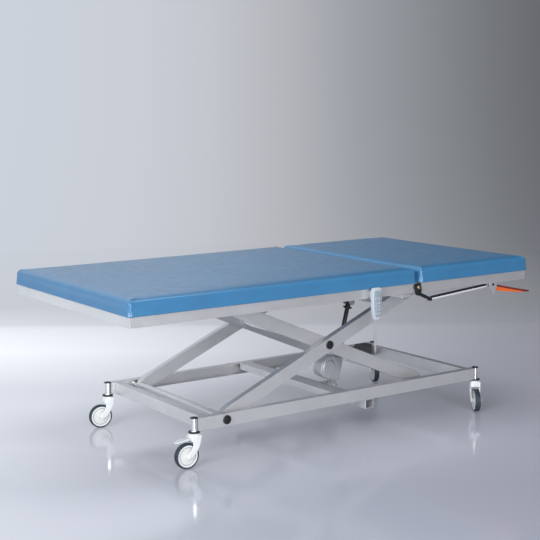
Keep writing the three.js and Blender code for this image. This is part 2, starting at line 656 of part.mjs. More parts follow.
function buildHingeBrackets() {
  for (const [name, side] of SIDES) {
    const upright = platePair(roundEnded(HINGE, [HINGE[0] + 1, 602], 16), side, BRACKET_Y, BRACKET_THICKNESS);
    const pinEnds = [BRACKET_Y + BRACKET_THICKNESS - 1, LEAF_FACE - LEAF_THICKNESS - 3].map((y) => (
      [HINGE[0], side * y, HINGE[1]]));
    const footOutline = roundEnded([HINGE[0] - 9, HINGE[1] + 1], HINGE, 14);
    const foot = platePair(footOutline, side, BRACKET_Y, BRACKET_THICKNESS);
    const pieces = [upright, foot, bar(...pinEnds, PIN_RADIUS, 16)];
    if (name === 'front') {
      const arm = platePair(roundEnded([HINGE[0] + 6, 594], GAS_FIXED_EYE, 7), side, BRACKET_Y, 6);
      const [x, z] = GAS_FIXED_EYE;
      pieces.push(arm, bar([x, -BRACKET_Y - 1, z], [x, GAS_Y + 10, z], 4, 12));
    }
    add(`hinge_bracket_${name}`, join(...pieces), 'cap');
  }
}

function buildGasSpring() {
  const [x, z] = GAS_FIXED_EYE;
  const [endX, endZ] = GAS_MOVING_EYE;
  const length = Math.hypot(endX - x, endZ - z);
  const group = new THREE.Group();
  group.position.set(x, GAS_Y, z);
  group.rotation.y = -Math.atan2(endZ - z, endX - x);
  table.add(group);
  const along = (from, to, radius) => bar([from, 0, 0], [to, 0, 0], radius, 16);
  const eye = (at, radius) => bar([at, -6, 0], [at, 6, 0], radius, 16);
  const hole = bar([0, -7, 0], [0, 7, 0], 4 + BEARING_CLEARANCE, 12);
  const [from, to, radius] = GAS_BARREL;
  const barrel = join(along(from, to, radius), along(5, from + 1, 5), eye(0, 9));
  add('gas_spring_cylinder', cut(barrel, hole, along(40, to + 10, 5.3)), 'steel', group);
  add('gas_spring_rod', join(along(60, length - 3, 5), eye(length, 7)), 'steel', group);
}

// ---- release lever ------------------------------------------------------------------------------
function buildLever() {
  const [x, z] = LEVER_PIVOT;
  const tip = TOP_LENGTH / 2 + LEVER_OVERHANG;
  const outline = [
    [x - 8, z + 9], [x - 8, z - 9], [x + 14, z - 15], [x + 91, z - 26], [x + 155, z - 34],
    [tip - 6, z - 36], [tip, z - 33], [tip - 3, z - 29.5],
    [x + 155, z - 20], [x + 90, z - 6], [x + 22, z + 9.5], [x + 8, z + 12.5],
  ];
  const [near, far] = [GAS_Y - LEVER_THICKNESS / 2, GAS_Y + LEVER_THICKNESS / 2];
  add('release_lever', plateXZ(outline, near, far, [[x, z, 3 + BEARING_CLEARANCE]]), 'lever');
}

// ---- handset ------------------------------------------------------------------------------------
const HANDSET_X = 114;
const HANDSET_BACK = -508;
const HANDSET_FRONT = -TOP_WIDTH / 2 - HANDSET_OVERHANG;
const HANDSET_TOP = 645;
const HANDSET_BOTTOM = 513;
const HANDSET_WAIST = 572;             // where it starts to narrow
const BUTTON_PROUD = 1.4;
const BUTTON_SIZE = 11;
const BUTTONS = [['up', -8], ['down', 8]];
const BUTTON_Z = 601;
const GLAND_TIP = HANDSET_BOTTOM - 10;

function handsetCasing() {
  const bevel = 5;
  const depth = HANDSET_BACK - HANDSET_FRONT - BUTTON_PROUD;
  const shape = new THREE.Shape();
  const halfTop = 24 - bevel;
  const halfBottom = 16 - bevel;
  const top = HANDSET_TOP - bevel;
  const bottom = HANDSET_BOTTOM + bevel;
  shape.moveTo(-halfTop, HANDSET_WAIST);
  shape.lineTo(-halfTop, top - 10);
  shape.quadraticCurveTo(-halfTop, top, -halfTop + 12, top);
  shape.lineTo(halfTop - 12, top);
  shape.quadraticCurveTo(halfTop, top, halfTop, top - 10);
  shape.lineTo(halfTop, HANDSET_WAIST);
  shape.quadraticCurveTo(halfTop, bottom + 20, halfBottom, bottom + 4);
  shape.quadraticCurveTo(halfBottom - 2, bottom, halfBottom - 8, bottom);
  shape.lineTo(-halfBottom + 8, bottom);
  shape.quadraticCurveTo(-halfBottom + 2, bottom, -halfBottom, bottom + 4);
  shape.quadraticCurveTo(-halfTop, bottom + 20, -halfTop, HANDSET_WAIST);
  const options = {
    depth: depth - 2 * bevel, bevelThickness: bevel, bevelSize: bevel, bevelSegments: 2, curveSegments: 3,
  };
  const casing = new THREE.ExtrudeGeometry(shape, options);
  return casing.rotateX(Math.PI / 2).translate(HANDSET_X, HANDSET_BACK - bevel, 0);
}

function buildHandset() {
  const face = HANDSET_FRONT + BUTTON_PROUD;
  const half = BUTTON_SIZE / 2;
  const pockets = BUTTONS.map(([, x]) => box(
    [HANDSET_X + x - half - GAP, face - 1, BUTTON_Z - half - GAP],
    [HANDSET_X + x + half + GAP, face + 4.5, BUTTON_Z + half + GAP]));
  const middle = (HANDSET_BACK + face) / 2;
  const gland = bar([HANDSET_X, middle, GLAND_TIP], [HANDSET_X, middle, HANDSET_BOTTOM + 6], 5, 12);
  add('handset', join(cut(handsetCasing(), ...pockets), gland), 'handset');
  for (const [name, x] of BUTTONS) {
    add(`handset_button_${name}`, box(
      [HANDSET_X + x - half, HANDSET_FRONT, BUTTON_Z - half],
      [HANDSET_X + x + half, face + 3, BUTTON_Z + half]), 'button');
  }
}

// The cord hangs from the handset in a narrow loop and goes up into the control box.
function buildCable() {
  const startY = (HANDSET_BACK + HANDSET_FRONT + BUTTON_PROUD) / 2;
  const start = new THREE.Vector3(HANDSET_X, startY, GLAND_TIP - GAP);
  const end = new THREE.Vector3(165, -300, CONTROL_BOX.low[2] - 2 * GAP);
  const points = [
    start, [114, -518, 473], [114.5, -517, 436], [117, -513, 403], [123, -504.5, 381], [131, -493, 372],
    [140, -481, 379], [150, -467, 398], [160, -453, 431], [169, -440, 473], [178, -427, 513],
    [186, -412, 543], [190, -396, 561], [188, -372, 572], [180, -345, 573], [170, -320, 571],
    [165, -302, 581], end,
  ].map((p) => (p.isVector3 ? p : new THREE.Vector3(...p)));
  const section = new THREE.Shape();
  section.absarc(0, 0, CABLE_RADIUS, 0, Math.PI * 2);
  const options = {
    steps: 38, curveSegments: 4, bevelEnabled: false, extrudePath: new THREE.CatmullRomCurve3(points),
  };
  add('handset_cable', new THREE.ExtrudeGeometry(section, options), 'caster');
}

buildBase();
for (const [name, x, side, turn] of CASTERS) {
  buildCaster(name, x, side, turn);
}
buildScissor();
buildActuator();
buildPlatform();
buildBackSection();
buildHingeBrackets();
buildGasSpring();
buildLever();
buildHandset();
buildCable();

export default table;
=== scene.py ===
"""Height-adjustable exam table: its looks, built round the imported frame. Metres, +Z up, +X to the head end."""

import json
import math

import bmesh
import bpy
from mathutils import Matrix, Vector, noise


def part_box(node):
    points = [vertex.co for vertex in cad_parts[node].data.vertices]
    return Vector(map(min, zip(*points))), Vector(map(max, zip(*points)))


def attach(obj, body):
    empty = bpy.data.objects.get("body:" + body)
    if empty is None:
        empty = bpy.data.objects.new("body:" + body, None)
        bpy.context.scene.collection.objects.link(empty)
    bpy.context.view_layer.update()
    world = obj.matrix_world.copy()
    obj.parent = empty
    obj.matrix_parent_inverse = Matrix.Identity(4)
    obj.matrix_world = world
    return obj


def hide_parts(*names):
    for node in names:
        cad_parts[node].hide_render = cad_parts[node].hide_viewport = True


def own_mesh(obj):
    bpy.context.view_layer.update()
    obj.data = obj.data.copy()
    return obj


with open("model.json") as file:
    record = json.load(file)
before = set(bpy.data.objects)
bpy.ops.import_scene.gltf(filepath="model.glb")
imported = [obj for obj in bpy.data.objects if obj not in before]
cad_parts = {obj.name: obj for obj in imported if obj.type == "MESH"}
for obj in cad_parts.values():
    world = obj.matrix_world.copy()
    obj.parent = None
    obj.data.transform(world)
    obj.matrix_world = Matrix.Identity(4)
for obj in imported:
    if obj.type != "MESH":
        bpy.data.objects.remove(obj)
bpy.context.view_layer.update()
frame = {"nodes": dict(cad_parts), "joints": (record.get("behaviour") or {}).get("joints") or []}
NODES = frame["nodes"]
JOINTS = {joint["name"]: joint for joint in frame["joints"]}
SHIFT = Vector((-0.0155, 0.0125, 0.0))      # from the table's middle to the row frame
CASTERS = ("front_foot", "back_foot", "front_head", "back_head")


def at(x, y, z):
    """A point given from the table's middle, in the row frame."""
    return Vector((x, y, z)) + SHIFT


def placed(name, data):
    made = bpy.data.objects.new(name, data)
    bpy.context.scene.collection.objects.link(made)
    return made


# ---- camera ----
CAMERA_PLACE = (-2.95170524, -4.16413402, 1.38659670)
CAMERA_TURN = (0.604949944, 0.139609516, -0.00698522)       # yaw, pitch down and roll, in radians
LENS = 79.404                # mm, on the sensor below
SENSOR = 36.0


def make_camera():
    """The photograph's own viewpoint."""
    yaw, pitch, roll = CAMERA_TURN
    ahead = Vector((math.sin(yaw) * math.cos(pitch), math.cos(yaw) * math.cos(pitch), -math.sin(pitch)))
    right = Vector((math.cos(yaw), -math.sin(yaw), 0.0))
    up = right.cross(ahead)
    c, s = math.cos(roll), math.sin(roll)
    right, up = right * c + up * s, up * c - right * s
    turn = Matrix((right, up, -ahead)).transposed().to_4x4()
    data = bpy.data.cameras.new("camera")
    data.sensor_width = SENSOR
    data.lens = LENS
    data.clip_end = 200.0
    camera = placed("camera", data)
    camera.matrix_world = Matrix.Translation(CAMERA_PLACE) @ turn
    bpy.context.scene.camera = camera


make_camera()


# ---- materials ----
class Shader:
    """A principled material with its nodes at hand."""

    def __init__(self, name, colour, roughness, metallic=0.0, **sockets):
        self.material = bpy.data.materials.new(name)
        self.material.use_nodes = True
        self.tree = self.material.node_tree
        self.bsdf = self.tree.nodes["Principled BSDF"]
        self.colour = colour
        self.set("Base Color", (*colour, 1.0))
        self.set("Roughness", roughness)
        self.set("Metallic", metallic)
        for socket, value in sockets.items():
            self.set(socket.replace("_", " "), value)
        self.place = self.node("ShaderNodeTexCoord").outputs["Object"]

    def node(self, kind, **inputs):
        made = self.tree.nodes.new(kind)
        for name, value in inputs.items():
            made.inputs[name].default_value = value
        return made

    def set(self, socket, value):
        self.bsdf.inputs[socket].default_value = value

    def link(self, a, b):
        self.tree.links.new(a, b)

    def stretched(self, scale):
        mapping = self.node("ShaderNodeMapping", Scale=scale)
        self.link(self.place, mapping.inputs["Vector"])
        return mapping.outputs["Vector"]

    def noise(self, scale, detail=3.0, stretch=None):
        made = self.node("ShaderNodeTexNoise", Scale=scale, Detail=detail)
        self.link(self.stretched(stretch) if stretch else self.place, made.inputs["Vector"])
        return made.outputs["Fac"]

    def cells(self, scale):
        made = self.node("ShaderNodeTexVoronoi", Scale=scale)
        self.link(self.place, made.inputs["Vector"])
        return made.outputs["Distance"]

    def mixed(self, factor, low, high, span=(0.3, 0.7)):
        ramp = self.node("ShaderNodeValToRGB")
        for element, where, colour in zip(ramp.color_ramp.elements, span, (low, high)):
            element.position = where
            element.color = (*colour, 1.0)
        self.link(factor, ramp.inputs["Fac"])
        return ramp.outputs["Color"]

    def mottled(self, scale, amount, detail=3.0, stretch=None):
        """The colour varies by that share, in patches of 1/scale metres."""
        low = [c * (1 - amount) for c in self.colour]
        high = [min(1.0, c * (1 + amount)) for c in self.colour]
        self.link(self.mixed(self.noise(scale, detail, stretch), low, high), self.bsdf.inputs["Base Color"])

    def varied_gloss(self, scale, low, high, stretch=None):
        span = self.node("ShaderNodeMapRange", **{"From Min": 0.3, "From Max": 0.7, "To Min": low,
                                                  "To Max": high})
        self.link(self.noise(scale, 4.0, stretch), span.inputs["Value"])
        self.link(span.outputs["Result"], self.bsdf.inputs["Roughness"])

    def bump(self, *layers):
        """Each layer is (height output, depth in metres, strength)."""
        normal = None
        for height, depth, strength in layers:
            made = self.node("ShaderNodeBump", Strength=strength, Distance=depth)
            self.link(height, made.inputs["Height"])
            if normal is not None:
                self.link(normal, made.inputs["Normal"])
            normal = made.outputs["Normal"]
        self.link(normal, self.bsdf.inputs["Normal"])


def graded(shader, stops, axis, span):
    """A colour that changes along one direction of the object. Each stop is (place in metres, colour)."""
    across = shader.node("ShaderNodeVectorMath")
    across.operation = "DOT_PRODUCT"
    across.inputs[1].default_value = axis
    shader.link(shader.place, across.inputs[0])
    share = shader.node("ShaderNodeMapRange", **{"From Min": span[0], "From Max": span[1]})
    shader.link(across.outputs["Value"], share.inputs["Value"])
    ramp = shader.node("ShaderNodeValToRGB")
    elements = ramp.color_ramp.elements
    while len(elements) < len(stops):
        elements.new(0.5)
    for element, (where, colour) in zip(elements, stops):
        element.position = (where - span[0]) / (span[1] - span[0])
        element.color = (*colour, 1.0)
    shader.link(share.outputs["Result"], ramp.inputs["Fac"])
    return ramp.outputs["Color"]


def finish(name, colour, roughness, metallic=0.0, patches=None, gloss=None, bumps=(), **sockets):
    """One surface. Patches vary its shade, and each bump is (kind, pattern, depth in metres, strength)."""
    s = Shader(name, colour, roughness, metallic, **sockets)
    if patches:
        s.mottled(*patches)
    if gloss:
        s.varied_gloss(*gloss)
    if bumps:
        s.bump(*[(getattr(s, kind)(*pattern), depth, strength) for kind, pattern, depth, strength in bumps])
    return s


def paint_lever_top_shade(shader):
    """Painted shade: the lever's orange turns dark red along its top edge, standing in for the shade there."""
    edge, across = 0.7499, (0.2166, 0.0, 0.9763)
    stops = [(edge - 0.0105, (0.78, 0.145, 0.025)), (edge - 0.0070, (0.16, 0.022, 0.016))]
    shader.link(graded(shader, stops, across, (0.70, 0.76)), shader.bsdf.inputs["Base Color"])


SURFACES = {
    "frame": finish("frame_silver", (0.66, 0.665, 0.675), 0.34, 0.65, patches=(9.0, 0.04),
        gloss=(55.0, 0.29, 0.39), bumps=[("noise", (900.0, 2.0), 0.0001, 0.06)]),
    "vinyl": finish("vinyl_blue", (0.042, 0.172, 0.340), 0.34, patches=(6.0, 0.05, 4.0),
        gloss=(30.0, 0.30, 0.38),
        bumps=[("cells", (720.0,), 0.00016, 0.18), ("noise", (1500.0, 3.0), 0.0001, 0.14),
               ("noise", (16.0, 2.0), 0.0008, 0.18)],
        Specular_IOR_Level=0.5, Coat_Weight=0.22, Coat_Roughness=0.15),
    "backing": finish("backing_black", (0.022, 0.022, 0.024), 0.85, patches=(500.0, 0.35, 6.0),
        bumps=[("noise", (1300.0, 6.0, (1.0, 0.35, 1.0)), 0.0002, 0.5)]),
    "steel": finish("steel_bright", (0.78, 0.79, 0.80), 0.17, 1.0, patches=(14.0, 0.04),
        gloss=(260.0, 0.12, 0.24, (1.0, 1.0, 0.03)),
        bumps=[("noise", (900.0, 2.0, (1.0, 1.0, 0.02)), 0.0001, 0.05)]),
    "bright": finish("silver_paint", (0.86, 0.87, 0.88), 0.24, 0.35, patches=(30.0, 0.02),
        gloss=(200.0, 0.20, 0.30)),
    "chrome": finish("chrome", (0.88, 0.89, 0.90), 0.07, 1.0, patches=(20.0, 0.02),
                     gloss=(180.0, 0.05, 0.10)),
    "brass": finish("brass", (0.40, 0.31, 0.20), 0.35, 0.9, patches=(200.0, 0.08), gloss=(300.0, 0.30, 0.42)),
    "black_metal": finish("black_metal", (0.014, 0.016, 0.020), 0.38, patches=(60.0, 0.2),
        gloss=(160.0, 0.30, 0.44), bumps=[("noise", (1200.0, 2.0), 0.0001, 0.2)], Specular_IOR_Level=0.35),
    "black_plastic": finish("black_plastic", (0.045, 0.046, 0.050), 0.5, patches=(80.0, 0.15),
        gloss=(120.0, 0.44, 0.56), bumps=[("cells", (1400.0,), 0.0001, 0.25)]),
    "white": finish("white_plastic", (0.74, 0.765, 0.78), 0.32, patches=(35.0, 0.02),
                    gloss=(150.0, 0.27, 0.38),
        bumps=[("noise", (1800.0, 2.0), 0.0001, 0.08)], Coat_Weight=0.1, Coat_Roughness=0.25),
    "disc": finish("disc_plastic", (0.66, 0.68, 0.655), 0.38, patches=(40.0, 0.03), gloss=(150.0, 0.33, 0.45),
        bumps=[("cells", (1800.0,), 0.0001, 0.12)]),
    "groove": finish("groove_grey", (0.30, 0.31, 0.33), 0.55, patches=(200.0, 0.1)),
    "tyre": finish("tyre_rubber", (0.022, 0.034, 0.046), 0.55, patches=(120.0, 0.22, 5.0),
        gloss=(90.0, 0.48, 0.66), bumps=[("noise", (900.0, 4.0), 0.00015, 0.3)]),
    "housing": finish("housing_grey", (0.50, 0.515, 0.54), 0.33, 0.35, patches=(30.0, 0.04),
        gloss=(110.0, 0.35, 0.48), bumps=[("cells", (1500.0,), 0.0001, 0.15)]),
    "orange": finish("lever_orange", (0.78, 0.145, 0.025), 0.30, gloss=(160.0, 0.24, 0.36),
        bumps=[("noise", (700.0, 2.0), 0.0001, 0.10)], Coat_Weight=0.3, Coat_Roughness=0.15),
    "shell": finish("handset_shell", (0.45, 0.49, 0.53), 0.36, patches=(60.0, 0.02),
                    gloss=(200.0, 0.30, 0.42),
        bumps=[("cells", (2200.0,), 0.0001, 0.10)]),
    "panel": finish("handset_panel", (0.27, 0.325, 0.375), 0.34, patches=(90.0, 0.04),
        gloss=(200.0, 0.24, 0.36), bumps=[("noise", (1400.0, 2.0), 0.0001, 0.06)]),
    "key": finish("key_pale", (0.42, 0.475, 0.53), 0.42, patches=(150.0, 0.03), gloss=(300.0, 0.38, 0.48),
        bumps=[("noise", (2400.0, 2.0), 0.0001, 0.10)]),
    "mark": finish("key_mark", (0.045, 0.075, 0.13), 0.5, patches=(300.0, 0.1)),
    "cord": finish("cord_grey", (0.33, 0.335, 0.345), 0.45, patches=(120.0, 0.04), gloss=(200.0, 0.40, 0.52),
        bumps=[("noise", (900.0, 2.0), 0.0001, 0.15)]),
}
# The lever's dark red top edge is painted shade.
paint_lever_top_shade(SURFACES["orange"])
MAT = {name: surface.material for name, surface in SURFACES.items()}


# ---- mesh tools ----
def piece(name, verts, faces, materials, indices=None, sharp=35.0):
    mesh = bpy.data.meshes.new(name)
    mesh.from_pydata([tuple(v) for v in verts], [], faces)
    for material in materials:
        mesh.materials.append(MAT[material])
    if indices is not None:
        mesh.polygons.foreach_set("material_index", indices)
    smooth(mesh, sharp)
    return placed(name, mesh)


def smooth(mesh, sharp=35.0):
    mesh.validate()
    mesh.polygons.foreach_set("use_smooth", [True] * len(mesh.polygons))
    mesh.set_sharp_from_angle(angle=math.radians(sharp))
    mesh.update()


def with_modifiers(made, *specs):
    """Adds the modifiers and makes their result the piece's own mesh."""
    for kind, settings in specs:
        modifier = made.modifiers.new(kind.lower(), kind)
        for key, value in settings.items():
            setattr(modifier, key, value)
    bpy.context.view_layer.update()
    result = bpy.data.meshes.new_from_object(made.evaluated_get(bpy.context.evaluated_depsgraph_get()))
    old, made.data = made.data, result
    made.modifiers.clear()
    bpy.data.meshes.remove(old)
    return made


def joined(parts):
    """Several (verts, faces) or (verts, faces, indices) as one."""
    verts, faces, indices = [], [], []
    for part in parts:
        base = len(verts)
        verts += [tuple(v) for v in part[0]]
        faces += [tuple(base + i for i in face) for face in part[1]]
        indices += list(part[2]) if len(part) > 2 else [0] * len(part[1])
    return verts, faces, indices


def moved(part, matrix):
    return [matrix @ Vector(v) for v in part[0]], *part[1:]


def circle(sides):
    """The cosine and sine of each place round a circle."""
    return [(math.cos(2 * math.pi * k / sides), math.sin(2 * math.pi * k / sides)) for k in range(sides)]


def ring_points(centre, half_x, half_y, power, count, z):
    """A level ring: an ellipse at power 1, squarer the lower the power."""
    return [(centre[0] + half_x * math.copysign(abs(c) ** power, c),
             centre[1] + half_y * math.copysign(abs(s) ** power, s), z) for c, s in circle(count)]


def lofted(rings):
    """A closed solid through rings that have the same number of points."""
    n = len(rings[0])
    verts = [p for ring in rings for p in ring]
    faces = [(i * n + k, i * n + (k + 1) % n, (i + 1) * n + (k + 1) % n, (i + 1) * n + k)
             for i in range(len(rings) - 1) for k in range(n)]
    return verts, faces + [tuple(range(n)), tuple(range((len(rings) - 1) * n, len(rings) * n))]


def rectangle(x0, z0, x1, z1):
    return [(x0, z0), (x1, z0), (x1, z1), (x0, z1)]


def lathe(profile, sides=48):
    """Points (radius, height, index of the material from there on) turned about Z into a closed solid."""
    verts, faces, indices, rings = [], [], [], []
    for radius, height, _ in profile:
        base = len(verts)
        if radius < 1e-6:
            verts.append((0.0, 0.0, height))
            rings.append([base] * sides)
            continue
        verts += [(radius * c, radius * s, height) for c, s in circle(sides)]
        rings.append(list(range(base, base + sides)))
    for i, (low, high) in enumerate(zip(rings, rings[1:])):
        for k in range(sides):
            m = (k + 1) % sides
            face = list(dict.fromkeys((low[k], low[m], high[m], high[k])))
            if len(face) > 2:
                faces.append(tuple(face))
                indices.append(profile[i][2])
    return verts, faces, indices


def prism(outline, low, high):
    """An outline in X and Z, from one Y to another."""
    n = len(outline)
    verts = [(x, low, z) for x, z in outline] + [(x, high, z) for x, z in outline]
    faces = [(i, (i + 1) % n, n + (i + 1) % n, n + i) for i in range(n)]
    return verts, faces + [tuple(range(n)), tuple(range(n, 2 * n))]


SIDEWAYS = Matrix.Rotation(math.radians(90), 4, "X")         # turns a lathe's axis across the table


def along(start, end):
    """The matrix that takes +Z at the origin to the line from start to end."""
    start, end = Vector(start), Vector(end)
    turn = (end - start).to_track_quat("Z", "Y").to_matrix().to_4x4()
    return Matrix.Translation(start) @ turn


def curve_points(points, per_span=8):
    """A centripetal Catmull-Rom line through the points."""
    p = [Vector(q) for q in points]
    p = [p[0] * 2 - p[1], *p, p[-1] * 2 - p[-2]]
    line = []
    for a, b, c, d in zip(p, p[1:], p[2:], p[3:]):
        t1 = (b - a).length ** 0.5
        t2 = t1 + (c - b).length ** 0.5
        t3 = t2 + (d - c).length ** 0.5
        for k in range(per_span):
            t = t1 + (t2 - t1) * k / per_span
            ab, bc, cd = a.lerp(b, t / t1), b.lerp(c, (t - t1) / (t2 - t1)), c.lerp(d, (t - t2) / (t3 - t2))
            early, late = ab.lerp(bc, t / t2), bc.lerp(cd, (t - t1) / (t3 - t1))
            line.append(early.lerp(late, (t - t1) / (t2 - t1)))
    line.append(p[-2])
    return line


def tidy(mesh):
    """Normals outwards."""
    work = bmesh.new()
    work.from_mesh(mesh)
    bmesh.ops.recalc_face_normals(work, faces=work.faces)
    work.to_mesh(mesh)
    work.free()


def plain_piece(name, part, materials, body, nodes=None, sharp=35.0):
    """A finished piece from vertices, faces and material indices, which may stand for CAD nodes."""
    verts, faces, indices = part
    made = piece(name, verts, faces, materials, indices, sharp)
    tidy(made.data)
    smooth(made.data, sharp)
    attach(made, body)
    if nodes is not None:
        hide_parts(*nodes)
    return made


def banded(part, index):
    """Vertices and faces, all in the piece's material of that index."""
    return *part[:2], [index] * len(part[1])


def subdivided(made):
    with_modifiers(made, ("SUBSURF", {"levels": 1, "render_levels": 1}))
    smooth(made.data, 60.0)


def dress(node, material, bevel=0.0):
    """A CAD node keeps its shape and gets a material and softened edges."""
    made = NODES[node]
    mesh = made.data
    mesh.materials.clear()
    mesh.materials.append(MAT[material])
    mesh.polygons.foreach_set("use_smooth", [True] * len(mesh.polygons))
    mesh.polygons.foreach_set("material_index", [0] * len(mesh.polygons))
    weld = made.modifiers.new("weld", "WELD")
    weld.merge_threshold = 0.00002
    if bevel:
        edge = made.modifiers.new("bevel", "BEVEL")
        edge.width = bevel
        edge.segments = 2
        edge.limit_method = "ANGLE"
        edge.angle_limit = math.radians(40.0)
        edge.use_clamp_overlap = True
    normals = made.modifiers.new("normals", "WEIGHTED_NORMAL")
    normals.keep_sharp = False
    normals.weight = 60


# ---- cord ----
CORD_DIAMETER = 0.006
CORD_ROUTE = [
    (114, -518.3, 502.7), (114, -518, 473), (114.5, -517, 436), (117, -513, 403), (123, -504.5, 381),
    (131, -493, 372), (140, -481, 379), (150, -467, 398), (160, -453, 431), (169, -440, 473),
              (178, -427, 513),
    (186, -412, 543), (190, -396, 561), (188, -372, 572), (180, -345, 573), (170, -320, 571),
              (165, -302, 581),
    (165, -300, 594.1),
]


def make_cord():
    line = curve_points([at(*(c / 1000 for c in point)) for point in CORD_ROUTE], 6)
    curve = bpy.data.curves.new("handset_cord", "CURVE")
    curve.dimensions = "3D"
    curve.bevel_depth = CORD_DIAMETER / 2
    curve.bevel_resolution = 3
    curve.use_fill_caps = True
    spline = curve.splines.new("POLY")
    spline.points.add(len(line) - 1)
    for point, place in zip(spline.points, line):
        point.co = (*place, 1.0)
    spline.use_smooth = True
    curve.materials.append(MAT["cord"])
    cord = placed("handset_cord", curve)
    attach(cord, "platform")
    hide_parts("handset_cable")


make_cord()


# ---- cushions ----
PLAN_CORNER = 0.017
TOP_ROLL = 0.016
FOOT_ROLL = 0.004
EASE = 0.0015                # the cover starts this much inside, all round
CROWN_ROOM = 0.0045
SWELL = 0.005                # the most that the stuffing moves the cover
HELD_BELOW = 0.012           # the cover is stapled below this height
CLOTH_FRAMES = 20


def lines(length, edge, step):
    """Grid places along one side: close together near both ends."""
    inner = length - 2 * edge[-1]
    count = max(2, round(inner / step))
    middle = [edge[-1] + inner * i / count for i in range(1, count)]
    return [*edge, *middle, *[length - e for e in reversed(edge)]]


def slab(x_lines, y_lines, z_lines):
    """The closed skin of a box, with vertices where the grid lines cross it."""
    nx, ny, nz = len(x_lines), len(y_lines), len(z_lines)
    index, verts, faces = {}, [], []

    def vertex(i, j, k):
        if (i, j, k) not in index:
            index[i, j, k] = len(verts)
            verts.append((x_lines[i], y_lines[j], z_lines[k]))
        return index[i, j, k]

    for k in (0, nz - 1):
        faces += [(vertex(i, j, k), vertex(i + 1, j, k), vertex(i + 1, j + 1, k), vertex(i, j + 1, k))
                  for i in range(nx - 1) for j in range(ny - 1)]
    for j in (0, ny - 1):
        faces += [(vertex(i, j, k), vertex(i + 1, j, k), vertex(i + 1, j, k + 1), vertex(i, j, k + 1))
                  for i in range(nx - 1) for k in range(nz - 1)]
    for i in (0, nx - 1):
        faces += [(vertex(i, j, k), vertex(i, j + 1, k), vertex(i, j + 1, k + 1), vertex(i, j, k + 1))
                  for j in range(ny - 1) for k in range(nz - 1)]
    return verts, faces


def rolled(inset, drop, radius):
    """Distances from both faces at a corner, bent on to a quarter circle: new inset and drop."""
    if inset >= radius or drop >= radius:
        return inset, drop
    turn = math.pi / 4 * (1 - drop / radius) if inset <= drop else math.pi / 4 * (1 + inset / radius)
    return radius * (1 - math.cos(turn)), radius * (1 - math.sin(turn))


def rounded(point, size):
    """A point of the plain slab, taken to the slab with round plan corners and rolled top and foot edges."""
    x, y, z = point
    core = [min(max(c, PLAN_CORNER), s - PLAN_CORNER) for c, s in ((x, size[0]), (y, size[1]))]
    off = Vector((x - core[0], y - core[1]))
    reach = max(abs(off.x), abs(off.y))
    if reach < 1e-9:
        return Vector((x, y, z))
    inset = PLAN_CORNER - reach
    if z > size[2] / 2:
        inset, drop = rolled(inset, size[2] - z, TOP_ROLL)
        z = size[2] - drop
    else:
        inset, z = rolled(inset, z, FOOT_ROLL)
    off.normalize()
    return Vector((core[0] + off.x * (PLAN_CORNER - inset), core[1] + off.y * (PLAN_CORNER - inset), z))


def stuffed(made):
    """The cover swells over the foam: cloth under pressure, with the foot held and its movement capped."""
    mesh = made.data
    held = made.vertex_groups.new(name="held")
    held.add([v.index for v in mesh.vertices if v.co.z < HELD_BELOW], 1.0, "REPLACE")
    start = [v.co.copy() for v in mesh.vertices]
    cloth = made.modifiers.new("cloth", "CLOTH")
    for key, value in (("quality", 6), ("mass", 0.4), ("tension_stiffness", 30),
                       ("compression_stiffness", 30),
                       ("shear_stiffness", 20), ("bending_stiffness", 4), ("use_pressure", True),
                       ("uniform_pressure_force", 4), ("vertex_group_mass", "held")):
        setattr(cloth.settings, key, value)
    cloth.settings.effector_weights.gravity = 0
    cloth.point_cache.frame_start = 1
    cloth.point_cache.frame_end = CLOTH_FRAMES
    scene = bpy.context.scene
    for step in range(1, CLOTH_FRAMES + 1):
        scene.frame_set(step)
    result = made.evaluated_get(bpy.context.evaluated_depsgraph_get()).data
    swollen = [v.co.copy() for v in result.vertices]
    made.modifiers.clear()
    made.vertex_groups.clear()
    scene.frame_set(1)
    for vertex, a, b in zip(mesh.vertices, start, swollen):
        shift = b - a
        if shift.length > 1e-9:
            shift *= SWELL * math.tanh(shift.length / SWELL) / shift.length
        vertex.co = a + shift


def cushion(name, section, body):
    """The upholstered pad of one section, wrapped round its board."""
    low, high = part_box(f"{section}_cushion")
    low.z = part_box(f"{section}_board")[0].z - 0.0001
    ease = Vector((EASE, EASE, 0.0))
    size = high - low - ease * 2
    size.z -= CROWN_ROOM
    edge = [0.0, 0.002, 0.004, 0.008, 0.012, 0.016, 0.020, 0.027, 0.038, 0.055]
    rise = [0.0, 0.002, 0.004, 0.012, 0.021, 0.031]
    rise += [size.z - d for d in (0.020, 0.016, 0.012, 0.008, 0.004, 0.0)]
    verts, faces = slab(lines(size.x, edge, 0.032), lines(size.y, edge, 0.032), rise)
    made = piece(name, [rounded(v, size) for v in verts], faces, ["vinyl"])
    tidy(made.data)
    stuffed(made)
    for vertex in made.data.vertices:
        foam = noise.noise(vertex.co * 5.0 + Vector((3.1, 7.7, 1.3)))
        vertex.co.z += 0.0006 * foam * max(0.0, min(1.0, vertex.co.z / size.z)) ** 2
        vertex.co += low + ease
    subdivided(made)
    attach(made, body)
    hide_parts(f"{section}_cushion")
    return made


